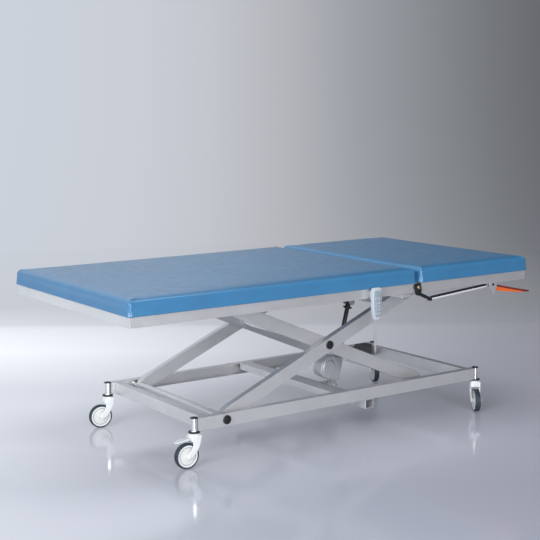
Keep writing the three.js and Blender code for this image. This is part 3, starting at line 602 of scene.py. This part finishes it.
def backing(name, body, low, high):
    """The black cloth stapled under the board, with its folded edge."""
    inset, thick = 0.012, 0.0004
    outer = rectangle(low.x, low.y, high.x, high.y)
    inner = rectangle(low.x + inset, low.y + inset, high.x - inset, high.y - inset)
    verts = [(*p, low.z + thick) for p in outer] + [(*p, low.z) for p in outer] + [(*p, low.z) for p in inner]
    verts += [(*p, low.z + thick * 0.4) for p in inner]
    faces = [(0, 1, 2, 3)]
    for ring in (0, 4, 8):
        faces += [(ring + i, ring + (i + 1) % 4, ring + 4 + (i + 1) % 4, ring + 4 + i) for i in range(4)]
    faces.append((12, 13, 14, 15))
    made = piece(name, verts, faces, ["backing"])
    tidy(made.data)
    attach(made, body)
    return made


def make_cushions():
    cushion("leg_upholstery", "leg", "platform")
    back = cushion("back_upholstery", "back", "back_section")
    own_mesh(back)
    for section, body in (("leg", "platform"), ("back", "back_section")):
        low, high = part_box(f"{section}_board")
        margin = Vector((0.045, 0.045, 0.0))
        sheet = backing(f"{section}_backing_cloth", body, low + margin - Vector((0, 0, 0.00018)),
                        high - margin)
        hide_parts(f"{section}_board")


make_cushions()


# ---- casters ----
AXLE_Z = 0.050
TRAIL = 0.035


def caster_place(name):
    """The fork's own frame: origin on the floor under the swivel, -X towards the wheel."""
    pivot = JOINTS[f"swivel_{name}"]["pos_m"]
    axle = JOINTS[f"roll_{name}"]["axis"]
    return Matrix.Translation((pivot[0], pivot[1], 0.0)) @ Matrix.Rotation(math.atan2(-axle[0], axle[1]), 4,
                                                                           "Z")


def smooth_outline(points, per_span=5):
    """A closed outline in X and Z, rounded through its points."""
    n = len(points)
    p = [Vector(q) for q in points]
    made = []
    for i in range(n):
        a, b, c, d = p[i - 1], p[i], p[(i + 1) % n], p[(i + 2) % n]
        for k in range(per_span):
            t = k / per_span
            made.append(0.5 * (2 * b + (c - a) * t + (2 * a - 5 * b + 4 * c - d) * t * t
                               + (3 * b - a - 3 * c + d) * t ** 3))
    return [(q.x, q.y) for q in made]


def fork_mesh():
    """A moulded fork: a round crown whose two cheeks sweep back to the axle."""
    cheek = smooth_outline([
        (0.0185, 0.129), (-0.014, 0.129), (-0.0165, 0.108), (-0.0165, 0.093), (-0.023, 0.076),
                            (-0.036, 0.066),
        (-0.0430, 0.056), (-0.0430, 0.046), (-0.0365, 0.0405), (-0.027, 0.0420), (-0.012, 0.053),
                            (0.004, 0.072),
        (0.0150, 0.094), (0.0185, 0.112)])
    parts = [prism(cheek, y0, y1) for y0, y1 in ((-0.0227, -0.0182), (0.0182, 0.0227))]
    crown = [(0.0, 0.106, 0), (0.019, 0.106, 0), (0.0235, 0.112, 0), (0.0238, 0.127, 0), (0.0225, 0.1325, 0),
             (0.0185, 0.1354, 0), (0.0, 0.1354, 0)]
    parts.append(lathe(crown, 40))
    bridge = smooth_outline([(0.0155, 0.128), (-0.018, 0.128), (-0.0205, 0.112), (-0.018, 0.1055),
                             (0.012, 0.1055),
                             (0.016, 0.112)], 4)
    parts.append(prism(bridge, -0.0222, 0.0222))
    boss = [(0.0, -0.0240, 0), (0.0065, -0.0240, 0), (0.0078, -0.0228, 0), (0.0078, -0.018, 0),
            (0.0, -0.018, 0)]
    for flip in (1, -1):
        turn = Matrix.Translation((-TRAIL, 0, AXLE_Z)) @ Matrix.Rotation(math.radians(-90 * flip), 4, "X")
        parts.append(moved(lathe(boss, 24), turn))
    verts, faces, indices = joined(parts)
    fork = piece("fork_pattern", verts, faces, ["white"])
    tidy(fork.data)
    with_modifiers(fork, ("REMESH", {"mode": "VOXEL", "voxel_size": 0.0011}),
                   ("SMOOTH", {"factor": 0.5, "iterations": 5}), ("DECIMATE", {"ratio": 0.35}))
    return fork


def wheel_parts():
    """Profiles of the wheel from one side to the other, about +Z, with the material of each band."""
    white, disc, groove = 0, 1, 2
    half = [
        (0.0, 0.0165, disc), (0.0070, 0.0165, disc), (0.0086, 0.0155, disc), (0.0092, 0.0118, disc),
        (0.0150, 0.0100, disc), (0.0280, 0.0094, disc), (0.0335, 0.0090, groove), (0.0340, 0.0078, groove),
        (0.0352, 0.0078, groove), (0.0357, 0.0096, white), (0.0372, 0.0112, white), (0.0405, 0.0118, white),
        (0.0425, 0.0114, white), (0.0430, 0.0104, white),
    ]
    other = [(radius, -height, kind) for radius, height, kind in reversed(half)]
    for i in range(len(other) - 1):
        other[i] = (other[i][0], other[i][1], other[i + 1][2] if i < len(other) - 2 else disc)
    core = [(r, -z, k) for r, z, k in half] + [(r, -z, k) for r, z, k in other]
    tyre_half = [(0.0433, -0.0110), (0.0446, -0.0118), (0.0468, -0.0119), (0.0483, -0.0111),
                 (0.0493, -0.0092),
                 (0.0498, -0.0062), (0.0500, -0.0030)]
    tyre = [(r, z, 0) for r, z in tyre_half] + [(r, -z, 0) for r, z in reversed(tyre_half)]
    return core, tyre + tyre[:1]


def closed_ring(profile, sides=64):
    """A ring turned about Z from a closed profile."""
    verts, faces, indices = [], [], []
    points = profile[:-1]
    n = len(points)
    for c, s in circle(sides):
        verts += [(r * c, r * s, z) for r, z, _ in points]
    for k in range(sides):
        m = (k + 1) % sides
        for i in range(n):
            j = (i + 1) % n
            faces.append((k * n + i, k * n + j, m * n + j, m * n + i))
            indices.append(points[i][2])
    return verts, faces, indices


def make_casters():
    fork = fork_mesh()
    core, tyre = wheel_parts()
    core, tyre = lathe(core, 64), closed_ring(tyre)
    wheel = Matrix.Translation((-TRAIL, 0, AXLE_Z)) @ SIDEWAYS
    for name in CASTERS:
        place = caster_place(name)
        mesh = fork.data.copy()
        mesh.transform(place)
        smooth(mesh, 50.0)
        made = placed(f"caster_fork_shell_{name}", mesh)
        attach(made, f"caster_{name}")
        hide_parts(f"caster_fork_{name}")
        plain_piece(f"wheel_disc_{name}", moved(core, place @ wheel), ["white", "disc", "groove"],
                    f"wheel_{name}",
                    [f"wheel_core_{name}"])
        plain_piece(f"wheel_tyre_{name}", moved(tyre, place @ wheel), ["tyre"], f"wheel_{name}",
                    [f"tyre_{name}"], 50.0)
    bpy.data.objects.remove(fork)
    make_pedal()


def make_pedal():
    """The brake tongue: a thin wing that droops towards its tip."""
    stations = [(-0.0262, 0.1135, 0.0120, 0.0062), (-0.034, 0.1150, 0.0135, 0.0052),
                (-0.046, 0.1150, 0.0148, 0.0043),
                (-0.058, 0.1139, 0.0150, 0.0036), (-0.070, 0.1118, 0.0143, 0.0030),
                (-0.080, 0.1095, 0.0125, 0.0024),
                (-0.0865, 0.1078, 0.0085, 0.0017)]
    rings = []
    for x, z, half, thick in stations:
        rings.append([])
        for c, s in circle(24):
            y = half * math.copysign(abs(c) ** 0.45, c)
            dip = 0.0016 * (1 - (y / half) ** 2) if s > 0 else 0.0
            rings[-1].append((x, y, z + thick * math.copysign(abs(s) ** 0.6, s) - dip))
    verts, faces = lofted(rings)
    made = piece("brake_tongue", [caster_place("front_foot") @ Vector(v) for v in verts], faces, ["white"])
    tidy(made.data)
    subdivided(made)
    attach(made, "pedal")
    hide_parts("brake_pedal")


make_casters()


# ---- base, lift and platform ----
def turned(name, start, end, profile, materials, body, nodes, sides=48, extra=()):
    """A turned piece whose profile's heights run from start towards end."""
    place = along(start, end)
    solids = joined([moved(lathe(p, sides), place) for p in (profile, *extra)])
    return plain_piece(name, solids, materials, body, nodes)


BOLT = lathe([(0.0, 0.0, 0), (0.0058, 0.0, 0), (0.0058, 0.0010, 0), (0.0046, 0.0010, 0), (0.0046, 0.0030, 0),
              (0.0036, 0.0038, 0), (0.0, 0.0041, 0)], 24)


def make_posts():
    for side in ("front", "back"):
        for end in ("foot", "head"):
            node = f"corner_post_{side}_{end}"
            low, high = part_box(node)
            middle = (low + high) / 2
            steel, dark, pale = 0, 1, 2
            tall = high.z - low.z
            profile = [
                (0.0, 0.0, dark), (0.0215, 0.0, dark), (0.023, 0.0012, dark), (0.023, 0.0046, dark),
                (0.0218, 0.0058, dark), (0.0125, 0.006, pale), (0.0122, 0.0085, pale),
                       (0.0117, 0.0092, steel),
                (0.0117, tall - 0.0032, dark), (0.0150, tall - 0.0032, dark), (0.0155, tall - 0.0025, dark),
                (0.0153, tall - 0.0010, dark), (0.0138, tall, dark), (0.0, tall, dark),
            ]
            turned(f"post_{side}_{end}", (middle.x, middle.y, low.z), (middle.x, middle.y, high.z), profile,
                   ["steel", "black_metal", "frame"], "base", [node])


def cap_profile(start, radius, thick):
    """A domed cap with a recessed middle, heights from its seat."""
    return [(0.0, start, 1), (radius - 0.0008, start, 1), (radius, start + 0.0008, 1),
            (radius, start + thick * 0.55, 1), (radius * 0.90, start + thick * 0.86, 1),
            (radius * 0.62, start + thick, 1),
            (radius * 0.46, start + thick, 1), (radius * 0.42, start + thick * 0.62, 1),
            (0.0, start + thick * 0.58, 1)]


def make_shafts():
    for node, body, thick in (("lower_pivot_shaft", "base", 0.0068),
                              ("centre_pivot_shaft", "inner_arms", 0.0058)):
        low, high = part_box(node)
        x, z = (low.x + high.x) / 2, (low.z + high.z) / 2
        length = high.y - low.y
        middle = [(0.0, thick - 0.001, 0), (0.010, thick - 0.001, 0), (0.010, length - thick + 0.001, 0),
                  (0.0, length - thick + 0.001, 0)]
        far = cap_profile(length - thick, 0.018, thick)
        near = [(radius, length - height, kind) for radius, height, kind in far]
        turned(f"{node}_and_caps", (x, low.y, z), (x, high.y, z), middle, ["steel", "black_metal"], body,
               [node],
               extra=(far, near))
    for node, body in (("upper_roller_shaft", "outer_arms"), ("lower_roller_shaft", "inner_arms")):
        low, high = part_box(node)
        x, z = (low.x + high.x) / 2, (low.z + high.z) / 2
        length, radius = high.y - low.y, (high.z - low.z) / 2
        roller = [(0.0, 0.0, 0), (0.006, 0.0, 0), (0.006, 0.0012, 1), (radius - 0.0012, 0.0012, 1),
                  (radius, 0.0024, 1),
                  (radius, 0.0186, 1), (radius - 0.0012, 0.0198, 1), (0.0125, 0.0198, 0), (0.010, 0.0200, 0)]
        profile = roller + [(r, length - h, 1 if 0.006 < r < 0.0126 and h > 0.0195 or r >= 0.0126 else 0)
                            for r, h, _ in reversed(roller)]
        turned(f"{node}_and_rollers", (x, low.y, z), (x, high.y, z), profile, ["steel", "white"], body,
               [node])


def make_frame():
    for side in ("front", "back"):
        for node in (f"base_rail_{side}", f"outer_arm_{side}", f"inner_arm_{side}", f"platform_rail_{side}",
                     f"roller_channel_{side}", f"back_rail_{side}"):
            dress(node, "frame", 0.0014)
        dress(f"hinge_bracket_{side}", "black_metal", 0.0012)
    for node in ("base_end_rail_foot", "base_end_rail_head", "base_cross_member", "actuator_beam",
                 "outer_torque_tube",
                 "outer_lift_tube", "platform_end_rail", "platform_cross_rail", "back_end_rail"):
        dress(node, "frame", 0.0014)
    dress("upper_pivot_shaft", "steel", 0.0008)
    dress("power_unit", "black_plastic", 0.0012)
    dress("control_box", "black_plastic", 0.0010)
    dress("release_lever", "orange", 0.0022)


def make_fittings():
    """Plugs in the cross rail's open ends, and the bolt that each hinge bracket turns on."""
    low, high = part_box("platform_cross_rail")
    wall = 0.0022
    plug = prism(rectangle(low.x + wall, low.z + wall, high.x - wall, high.z - wall), -0.0005, 0.0035)
    ends = [moved(plug, Matrix.Translation((0.0, y, 0.0))) for y in (low.y + 0.0010, high.y - 0.0040)]
    plain_piece("cross_rail_plugs", joined(ends), ["frame"], "platform")
    x, z = JOINTS["back_hinge"]["pos_m"][0], JOINTS["back_hinge"]["pos_m"][2]
    for side, sign in (("front", -1), ("back", 1)):
        low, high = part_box(f"hinge_bracket_{side}")
        face = low.y if sign < 0 else high.y
        turn = Matrix.Translation((x, face, z)) @ Matrix.Rotation(math.radians(-90 * sign), 4,
                                                                  "X") @ Matrix.Scale(1.6, 4)
        plain_piece(f"hinge_bolt_{side}", moved(BOLT, turn), ["brass"], "platform")


make_posts()
make_shafts()
make_frame()
make_fittings()


# ---- actuator and gas spring ----
ROD_EYE = 0.38249            # from the actuator's foot, at rest
GAS_EYE = 0.37302            # from the gas spring's fixed eye, at rest
PAINTED_SHADE_MIN_NORMAL_Z = 0.10              # least Z of the normal of a barrel face that counts as pointing up and gets the painted shade


def make_actuator():
    """A geared motor beside a tube, hung on the base, and the spindle's rod that lifts the outer arms."""
    foot = Vector(JOINTS["actuator_tilt"]["pos_m"])
    axis = Vector(JOINTS["actuator_extend"]["axis"]).normalized()
    across = Vector((0.0, 1.0, 0.0)).cross(axis)
    upright = Matrix((across, (0.0, 1.0, 0.0), axis)).transposed().to_4x4()
    upright.translation = foot
    outline = smooth_outline([(0.0135, 0.030), (0.014, 0.075), (0.0135, 0.118), (0.006, 0.129),
                              (-0.022, 0.1296),
                              (-0.052, 0.129), (-0.083, 0.111), (-0.099, 0.088), (-0.0995, 0.068),
                              (-0.099, 0.052),
                              (-0.087, 0.0345), (-0.064, 0.0275), (-0.030, 0.021), (-0.006, 0.0225)], 4)
    parts = [prism(outline, -0.0295, 0.0295)]
    for x, z, radius, half in ((-0.056, 0.074, 0.036, 0.0325), (-0.012, 0.100, 0.018, 0.0315)):
        drum = [(0.0, -half, 0), (radius - 0.004, -half, 0), (radius, 0.004 - half, 0),
                (radius, half - 0.004, 0),
                (radius - 0.004, half, 0), (0.0, half, 0)]
        parts.append(moved(lathe(drum, 40), Matrix.Translation((x, 0, z)) @ SIDEWAYS))
    parts.append(lathe([(0.0, 0.100, 0), (0.0225, 0.100, 0), (0.0215, 0.138, 0), (0.0195, 0.144, 0),
                        (0.0, 0.144, 0)], 40))
    parts.append(prism([(-0.0125, 0.0), (-0.0115, -0.006), (-0.006, -0.0115), (0.0, -0.0125),
                        (0.006, -0.0115),
                        (0.0115, -0.006), (0.0125, 0.0), (0.0125, 0.034), (-0.0125, 0.034)], -0.0135, 0.0135))
    body = piece("motor_housing", *joined(parts)[:2], ["housing"])
    tidy(body.data)
    with_modifiers(body, ("REMESH", {"mode": "VOXEL", "voxel_size": 0.0020}),
                   ("SMOOTH", {"factor": 0.5, "iterations": 4}), ("DECIMATE", {"ratio": 0.4}))
    body.data.transform(upright)
    smooth(body.data, 50.0)
    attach(body, "actuator")
    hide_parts("actuator_body")

    tube = [(0.0, 0.136, 0), (0.0176, 0.136, 0), (0.0176, 0.236, 1), (0.0190, 0.237, 1), (0.0190, 0.2485, 1),
            (0.0178, 0.2500, 1), (0.0106, 0.2500, 1), (0.0106, 0.2450, 1), (0.0, 0.2450, 1)]
    turned("actuator_tube", foot, foot + axis, tube, ["steel", "black_plastic"], "actuator", [])

    screw = lathe([(0.0, 0.0, 0), (0.0034, 0.0, 0), (0.0034, 0.0011, 0), (0.0026, 0.0017, 0),
                   (0.0012, 0.0017, 0),
                   (0.0010, 0.0008, 0), (0.0, 0.0008, 0)], 16)
    places = [(-0.082, 0.044), (-0.040, 0.029), (0.006, 0.036), (0.006, 0.120), (-0.046, 0.121),
              (-0.090, 0.094)]
    heads = joined([moved(screw, Matrix.Translation((x, -0.0290, z)) @ SIDEWAYS) for x, z in places])
    plain_piece("housing_screws", moved(heads, upright), ["steel"], "actuator")

    rest = ROD_EYE
    rod = [(0.0, 0.120, 0), (0.0100, 0.120, 0), (0.0100, rest - 0.032, 0), (0.0190, rest - 0.030, 1),
           (0.0200, rest - 0.029, 1), (0.0200, rest - 0.023, 1), (0.0190, rest - 0.022, 1),
           (0.0120, rest - 0.021, 1),
           (0.0115, rest - 0.010, 1), (0.0, rest - 0.010, 1)]
    eye = [(0.0060, -0.0138, 1), (0.0110, -0.0138, 1), (0.0120, -0.0126, 1), (0.0120, 0.0126, 1),
           (0.0110, 0.0138, 1), (0.0060, 0.0138, 1), (0.0060, -0.0138, 1)]
    ring = moved(closed_ring(eye, 40), Matrix.Translation((0, 0, rest)) @ SIDEWAYS)
    made = plain_piece("actuator_spindle", moved(joined([lathe(rod, 40), ring]), upright),
                       ["black_metal", "black_metal"], "spindle")
    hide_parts("actuator_rod")


def make_gas_spring():
    start = Vector(JOINTS["gas_spring_tilt"]["pos_m"])
    axis = Vector(JOINTS["gas_spring_extend"]["axis"]).normalized()
    barrel = [(0.0, 0.008, 1), (0.0046, 0.008, 1), (0.0046, 0.017, 1), (0.0070, 0.018, 0), (0.0087, 0.022, 0),
              (0.0088, 0.331, 0), (0.0080, 0.3375, 0), (0.0058, 0.340, 1), (0.0052, 0.340, 1),
              (0.0052, 0.337, 1),
              (0.0, 0.337, 1)]
    made = turned("gas_spring_barrel", start, start + axis, barrel, ["bright", "black_metal"], "gas_cylinder",
                  ["gas_spring_cylinder"], 48)
    # Painted reflection: faces pointing up get the black finish and the rest the bright silver, in place of the
    # dark reflection above and the bright reflection below on one finish.
    for face in made.data.polygons:
        if face.normal.z > PAINTED_SHADE_MIN_NORMAL_Z:
            face.material_index = 1
    rod = [(0.0, 0.320, 0), (0.0048, 0.320, 0), (0.0048, GAS_EYE - 0.018, 1), (0.0058, GAS_EYE - 0.017, 1),
           (0.0058, GAS_EYE - 0.007, 1), (0.0, GAS_EYE - 0.006, 1)]
    turned("gas_spring_plunger", start, start + axis, rod, ["chrome", "black_metal"], "gas_rod",
           ["gas_spring_rod"],
           32)
    for name, place, radius, body in (("fixed", 0.0, 0.0088, "gas_cylinder"),
                                      ("moving", GAS_EYE, 0.0069, "gas_rod")):
        eye = [(0.0042, -0.0055, 0), (radius - 0.0008, -0.0055, 0), (radius, -0.0045, 0), (radius, 0.0045, 0),
               (radius - 0.0008, 0.0055, 0), (0.0042, 0.0055, 0), (0.0042, -0.0055, 0)]
        turn = Matrix.Translation(start + axis * place) @ SIDEWAYS
        plain_piece(f"gas_spring_eye_{name}", moved(closed_ring(eye, 32), turn), ["steel"], body)
    for name, point, face, body in (("fixed", start, -0.4995, "platform"),
                                    ("moving", start + axis * GAS_EYE, -0.4901, "back_section")):
        turn = Matrix.Translation((point.x, face + SHIFT.y, point.z)) @ SIDEWAYS
        plain_piece(f"gas_spring_bolt_{name}", moved(BOLT, turn), ["black_metal"], body)


make_actuator()
make_gas_spring()


# ---- handset ----
# Height from the lowest point, half width, share of the full depth.
HANDSET_SHAPE = [
    (0.0000, 0.0085, 0.55), (0.0006, 0.0105, 0.66), (0.0022, 0.0128, 0.80), (0.0055, 0.0148, 0.92),
    (0.0120, 0.0170, 0.98), (0.0220, 0.0195, 1.0), (0.0340, 0.0216, 1.0), (0.0480, 0.0231, 1.0),
    (0.0620, 0.0238, 1.0), (0.0800, 0.0240, 1.0), (0.1020, 0.0240, 1.0), (0.1170, 0.0237, 1.0),
    (0.1240, 0.0229, 0.97), (0.1285, 0.0213, 0.89), (0.1308, 0.0188, 0.78), (0.1318, 0.0155, 0.62),
    (0.1320, 0.0120, 0.50),
]


def width_at(height):
    for (h0, w0, _), (h1, w1, _) in zip(HANDSET_SHAPE, HANDSET_SHAPE[1:]):
        if h0 <= height <= h1:
            return w0 + (w1 - w0) * (height - h0) / (h1 - h0)
    return HANDSET_SHAPE[-1][1]


def pad_shape(x, y, z, half_x, half_z, proud, power=0.55):
    """A soft key: a low domed pad that stands out towards -Y."""
    rings = []
    for share, out in ((1.0, 0.0), (0.98, 0.55), (0.90, 0.86), (0.72, 0.98), (0.40, 1.0)):
        flat = ring_points((x, z), half_x * share, half_z * share, power, 28, 0.0)
        rings.append([(a, y - proud * out, b) for a, b, _ in flat])
    return lofted(rings)


def triangle(x, y, z, size, up):
    """A raised triangle mark."""
    s = size if up else -size
    outline = [(x - size, z - s * 0.6), (x + size, z - s * 0.6), (x, z + s * 0.9)]
    return prism(outline, y - 0.00025, y + 0.0004)


def bar_mark(x, y, z, half_x, half_z):
    return prism(rectangle(x - half_x, z - half_z, x + half_x, z + half_z), y - 0.00025, y + 0.0004)


def make_handset():
    low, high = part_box("handset")
    middle_x = (low.x + high.x) / 2
    foot = high.z - HANDSET_SHAPE[-1][0]
    back, face = high.y, low.y
    half_depth = (back - face) / 2
    centre = (middle_x, (back + face) / 2)
    rings = [ring_points(centre, w, half_depth * d, 0.34, 48, foot + h) for h, w, d in HANDSET_SHAPE]
    verts, faces = lofted(rings)
    shell = piece("handset_shell", verts, faces, ["shell"])
    tidy(shell.data)
    subdivided(shell)
    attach(shell, "platform")
    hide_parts("handset")

    heights = [0.014 + 0.107 * i / 24 for i in range(25)]
    outline = [(middle_x + width_at(h) - 0.0048, foot + h) for h in heights]
    outline += [(2 * middle_x - x, z) for x, z in reversed(outline)]
    made = piece("handset_panel", *prism(outline, face - 0.0004, face + 0.0012), ["panel"])
    tidy(made.data)
    with_modifiers(made, ("BEVEL", {"width": 0.0004, "segments": 2, "limit_method": "ANGLE"}))
    smooth(made.data)
    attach(made, "platform")

    keys = []
    for row in range(4):
        z = foot + 0.070 - row * 0.0140
        offset = min(0.0080, width_at(z - foot) - 0.0112)
        for side in (-1, 1):
            x = middle_x + side * offset
            keys.append(banded(pad_shape(x, face - 0.0003, z, 0.0050, 0.0042, 0.0009), 0))
            mark = triangle(x, face - 0.0012, z, 0.0016, row % 2 == 0) if side < 0 else \
                bar_mark(x, face - 0.0012, z, 0.0019, 0.0005 + 0.0004 * (row % 2))
            keys.append(banded(mark, 1))
    plain_piece("handset_keys", joined(keys), ["key", "mark"], "platform")

    for name, up in (("up", True), ("down", False)):
        node = f"handset_button_{name}"
        (x0, y0, z0), (x1, y1, z1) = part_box(node)
        x, z = (x0 + x1) / 2, (z0 + z1) / 2
        pad = pad_shape(x, face + 0.003, z, (x1 - x0) / 2, (z1 - z0) / 2, face + 0.003 - y0, 0.38)
        mark = triangle(x, y0, z, 0.0026, up)
        plain_piece(f"lift_key_{name}", joined([banded(pad, 0), banded(mark, 1)]), ["key", "mark"],
                    f"button_{name}", [node])

    tip = low.z
    relief = [(0.0, 0.0, 0), (0.0036, 0.0, 0), (0.0040, 0.0006, 0)]
    for i in range(5):
        h = 0.0012 + i * 0.0022
        rib, groove = 0.0040 + 0.0002 * i, 0.0034 + 0.0002 * i
        relief += [(rib, h, 0), (rib, h + 0.0012, 0), (groove, h + 0.0014, 0), (groove, h + 0.0020, 0)]
    relief += [(0.0050, 0.0124, 0), (0.0050, 0.0150, 0), (0.0, 0.0150, 0)]
    start = Vector((*centre, tip))
    turned("handset_strain_relief", start, start + Vector((0, 0, 1)), relief, ["cord"], "platform", [],
           28, ())


make_handset()


# ---- studio ----
RIGHTWARD = (0.8225, -0.5688, 0.0)
BACKWARD = (0.5688, 0.8225, 0.0)
BACKDROP_PAINTED_GLOW = [        # place across the backdrop in metres, and the colour it glows with there: painted light, bright at one side and dark at the other
    (-3.20, (0.590, 0.638, 0.708)), (-1.53, (0.578, 0.600, 0.658)), (-0.70, (0.530, 0.550, 0.595)),
    (0.12, (0.445, 0.455, 0.485)), (0.94, (0.325, 0.342, 0.372)), (1.76, (0.236, 0.248, 0.268)),
    (2.47, (0.166, 0.175, 0.191)), (3.20, (0.116, 0.120, 0.128)),
]


def blended(shader, first, second, factor):
    """Two colours mixed. Each is a plain colour or a node's output."""
    mix = shader.node("ShaderNodeMix")
    mix.data_type = "RGBA"
    shader.link(factor, mix.inputs["Factor"])
    for socket, colour in (("A", first), ("B", second)):
        if isinstance(colour, tuple):
            mix.inputs[socket].default_value = (*colour, 1.0)
        else:
            shader.link(colour, mix.inputs[socket])
    return mix.outputs["Result"]


def make_studio():
    """A pale glossy floor that runs into a round backdrop, both with painted light that glows brighter at one
    side, and soft lights.
    """
    white, black = (1.0, 1.0, 1.0), (0.0, 0.0, 0.0)
    span = (-3.2, 3.2)
    floor = Shader("studio_floor", (0.55, 0.56, 0.61), 0.08, 0.0, Emission_Strength=1.0)
    floor.varied_gloss(1.5, 0.09, 0.13)
    # Painted light: the floor's colour is paler towards the left and darker towards the right, where the studio
    # light falls off.
    near = graded(floor, [(-3.2, (0.74, 0.76, 0.80)), (-1.0, (0.60, 0.62, 0.68)), (0.0, (0.47, 0.49, 0.56)),
                          (0.8, (0.42, 0.43, 0.51)), (3.2, (0.34, 0.34, 0.42))], RIGHTWARD, span)
    speckled = blended(floor, near, floor.mixed(floor.noise(0.8), (0.46, 0.47, 0.54), (0.52, 0.53, 0.60)),
                       floor.mixed(floor.noise(0.5), (0.05,) * 3, (0.3,) * 3))
    # Painted light: farther back the floor's own colour goes to black and it glows with the backdrop's colours
    # instead.
    away = graded(floor, [(1.5, black), (3.0, white)], BACKWARD, (0.0, 6.0))
    floor.link(blended(floor, speckled, black, away), floor.bsdf.inputs["Base Color"])
    shine = graded(floor, [(1.0, (0.72,) * 3), (2.3, black)], BACKWARD, (0.0, 6.0))
    floor.link(shine, floor.bsdf.inputs["Specular IOR Level"])
    # Painted light: near the table the floor glows as a pool of light, brighter to the left and fading to the
    # right.
    painted_floor_glow = graded(floor, [(-2.6, (0.62, 0.62, 0.63)), (-1.1, (0.40, 0.40, 0.41)), (0.1, (0.18, 0.18, 0.19)),
                          (1.2, (0.10, 0.10, 0.11)), (2.6, (0.02, 0.02, 0.03))], RIGHTWARD, span)
    painted_pool_band = graded(floor, [(-0.9, black), (-0.4, (0.38,) * 3), (0.6, (0.42,) * 3), (1.5, white)], BACKWARD,
                  (-1.0, 3.0))
    painted_light_pool = blended(floor, black, painted_floor_glow, painted_pool_band)
    floor.link(blended(floor, painted_light_pool, graded(floor, BACKDROP_PAINTED_GLOW, RIGHTWARD, span), away),
               floor.bsdf.inputs["Emission Color"])
    MAT["floor"] = floor.material

    # Painted light: the backdrop glows, bright to the left and dark to the right, and higher up it changes to a
    # second graded glow.
    wall = Shader("studio_backdrop", (0.02, 0.02, 0.02), 0.95, 0.0, Specular_IOR_Level=0.0,
                  Emission_Strength=1.0)
    low = graded(wall, BACKDROP_PAINTED_GLOW, RIGHTWARD, span)
    high = graded(wall, [(-3.2, (0.85, 0.89, 0.96)), (-1.2, (0.80, 0.84, 0.91)), (0.2, (0.26, 0.27, 0.30)),
                         (1.2, (0.03, 0.03, 0.035)), (3.2, (0.01, 0.01, 0.012))], RIGHTWARD, span)
    height = graded(wall, [(2.6, black), (3.6, white)], (0.0, 0.0, 1.0), (0.0, 6.0))
    wall.link(blended(wall, low, high, height), wall.bsdf.inputs["Emission Color"])
    MAT["wall"] = wall.material

    radius, curve, tall, sides = 9.0, 2.5, 9.0, 128
    profile = [(0.0, 0.0), (1.0, 0.0), (3.0, 0.0), (radius - curve, 0.0)]
    for k in range(1, 17):
        angle = math.pi / 2 * k / 16
        profile.append((radius - curve + curve * math.sin(angle), curve * (1 - math.cos(angle))))
    profile.append((radius, tall))
    verts, faces, indices = lathe([(r, z, 0 if r < radius - curve else 1) for r, z in profile], sides)
    made = piece("studio", verts, faces, ["floor", "wall"], indices, 80.0)

    world = bpy.data.worlds.new("studio_air")
    bpy.context.scene.world = world
    world.use_nodes = True
    world.node_tree.nodes["Background"].inputs["Color"].default_value = (0.80, 0.86, 0.95, 1.0)
    world.node_tree.nodes["Background"].inputs["Strength"].default_value = 0.10

    for name, place, target, size, power, colour in (
            ("key", (-5.2, -2.8, 2.5), (-0.2, 0.0, 0.4), (3.5, 1.8), 195, (1.0, 0.99, 0.98)),
            ("front", (-1.6, -6.0, 1.4), (0.2, 0.0, 0.4), (3.4, 1.8), 230, (0.99, 0.99, 1.0)),
            ("overhead", (0.0, -0.4, 4.6), (0.0, 0.0, 0.0), (3.5, 2.5), 95, (0.96, 0.98, 1.0))):
        data = bpy.data.lights.new(name, "AREA")
        data.shape = "RECTANGLE"
        data.size, data.size_y = size
        data.energy = power
        data.color = colour
        light = placed(name, data)
        light.location = place
        light.rotation_euler = (Vector(target) - Vector(place)).to_track_quat("-Z", "Y").to_euler()
    bpy.context.scene.view_settings.view_transform = "Standard"


make_studio()
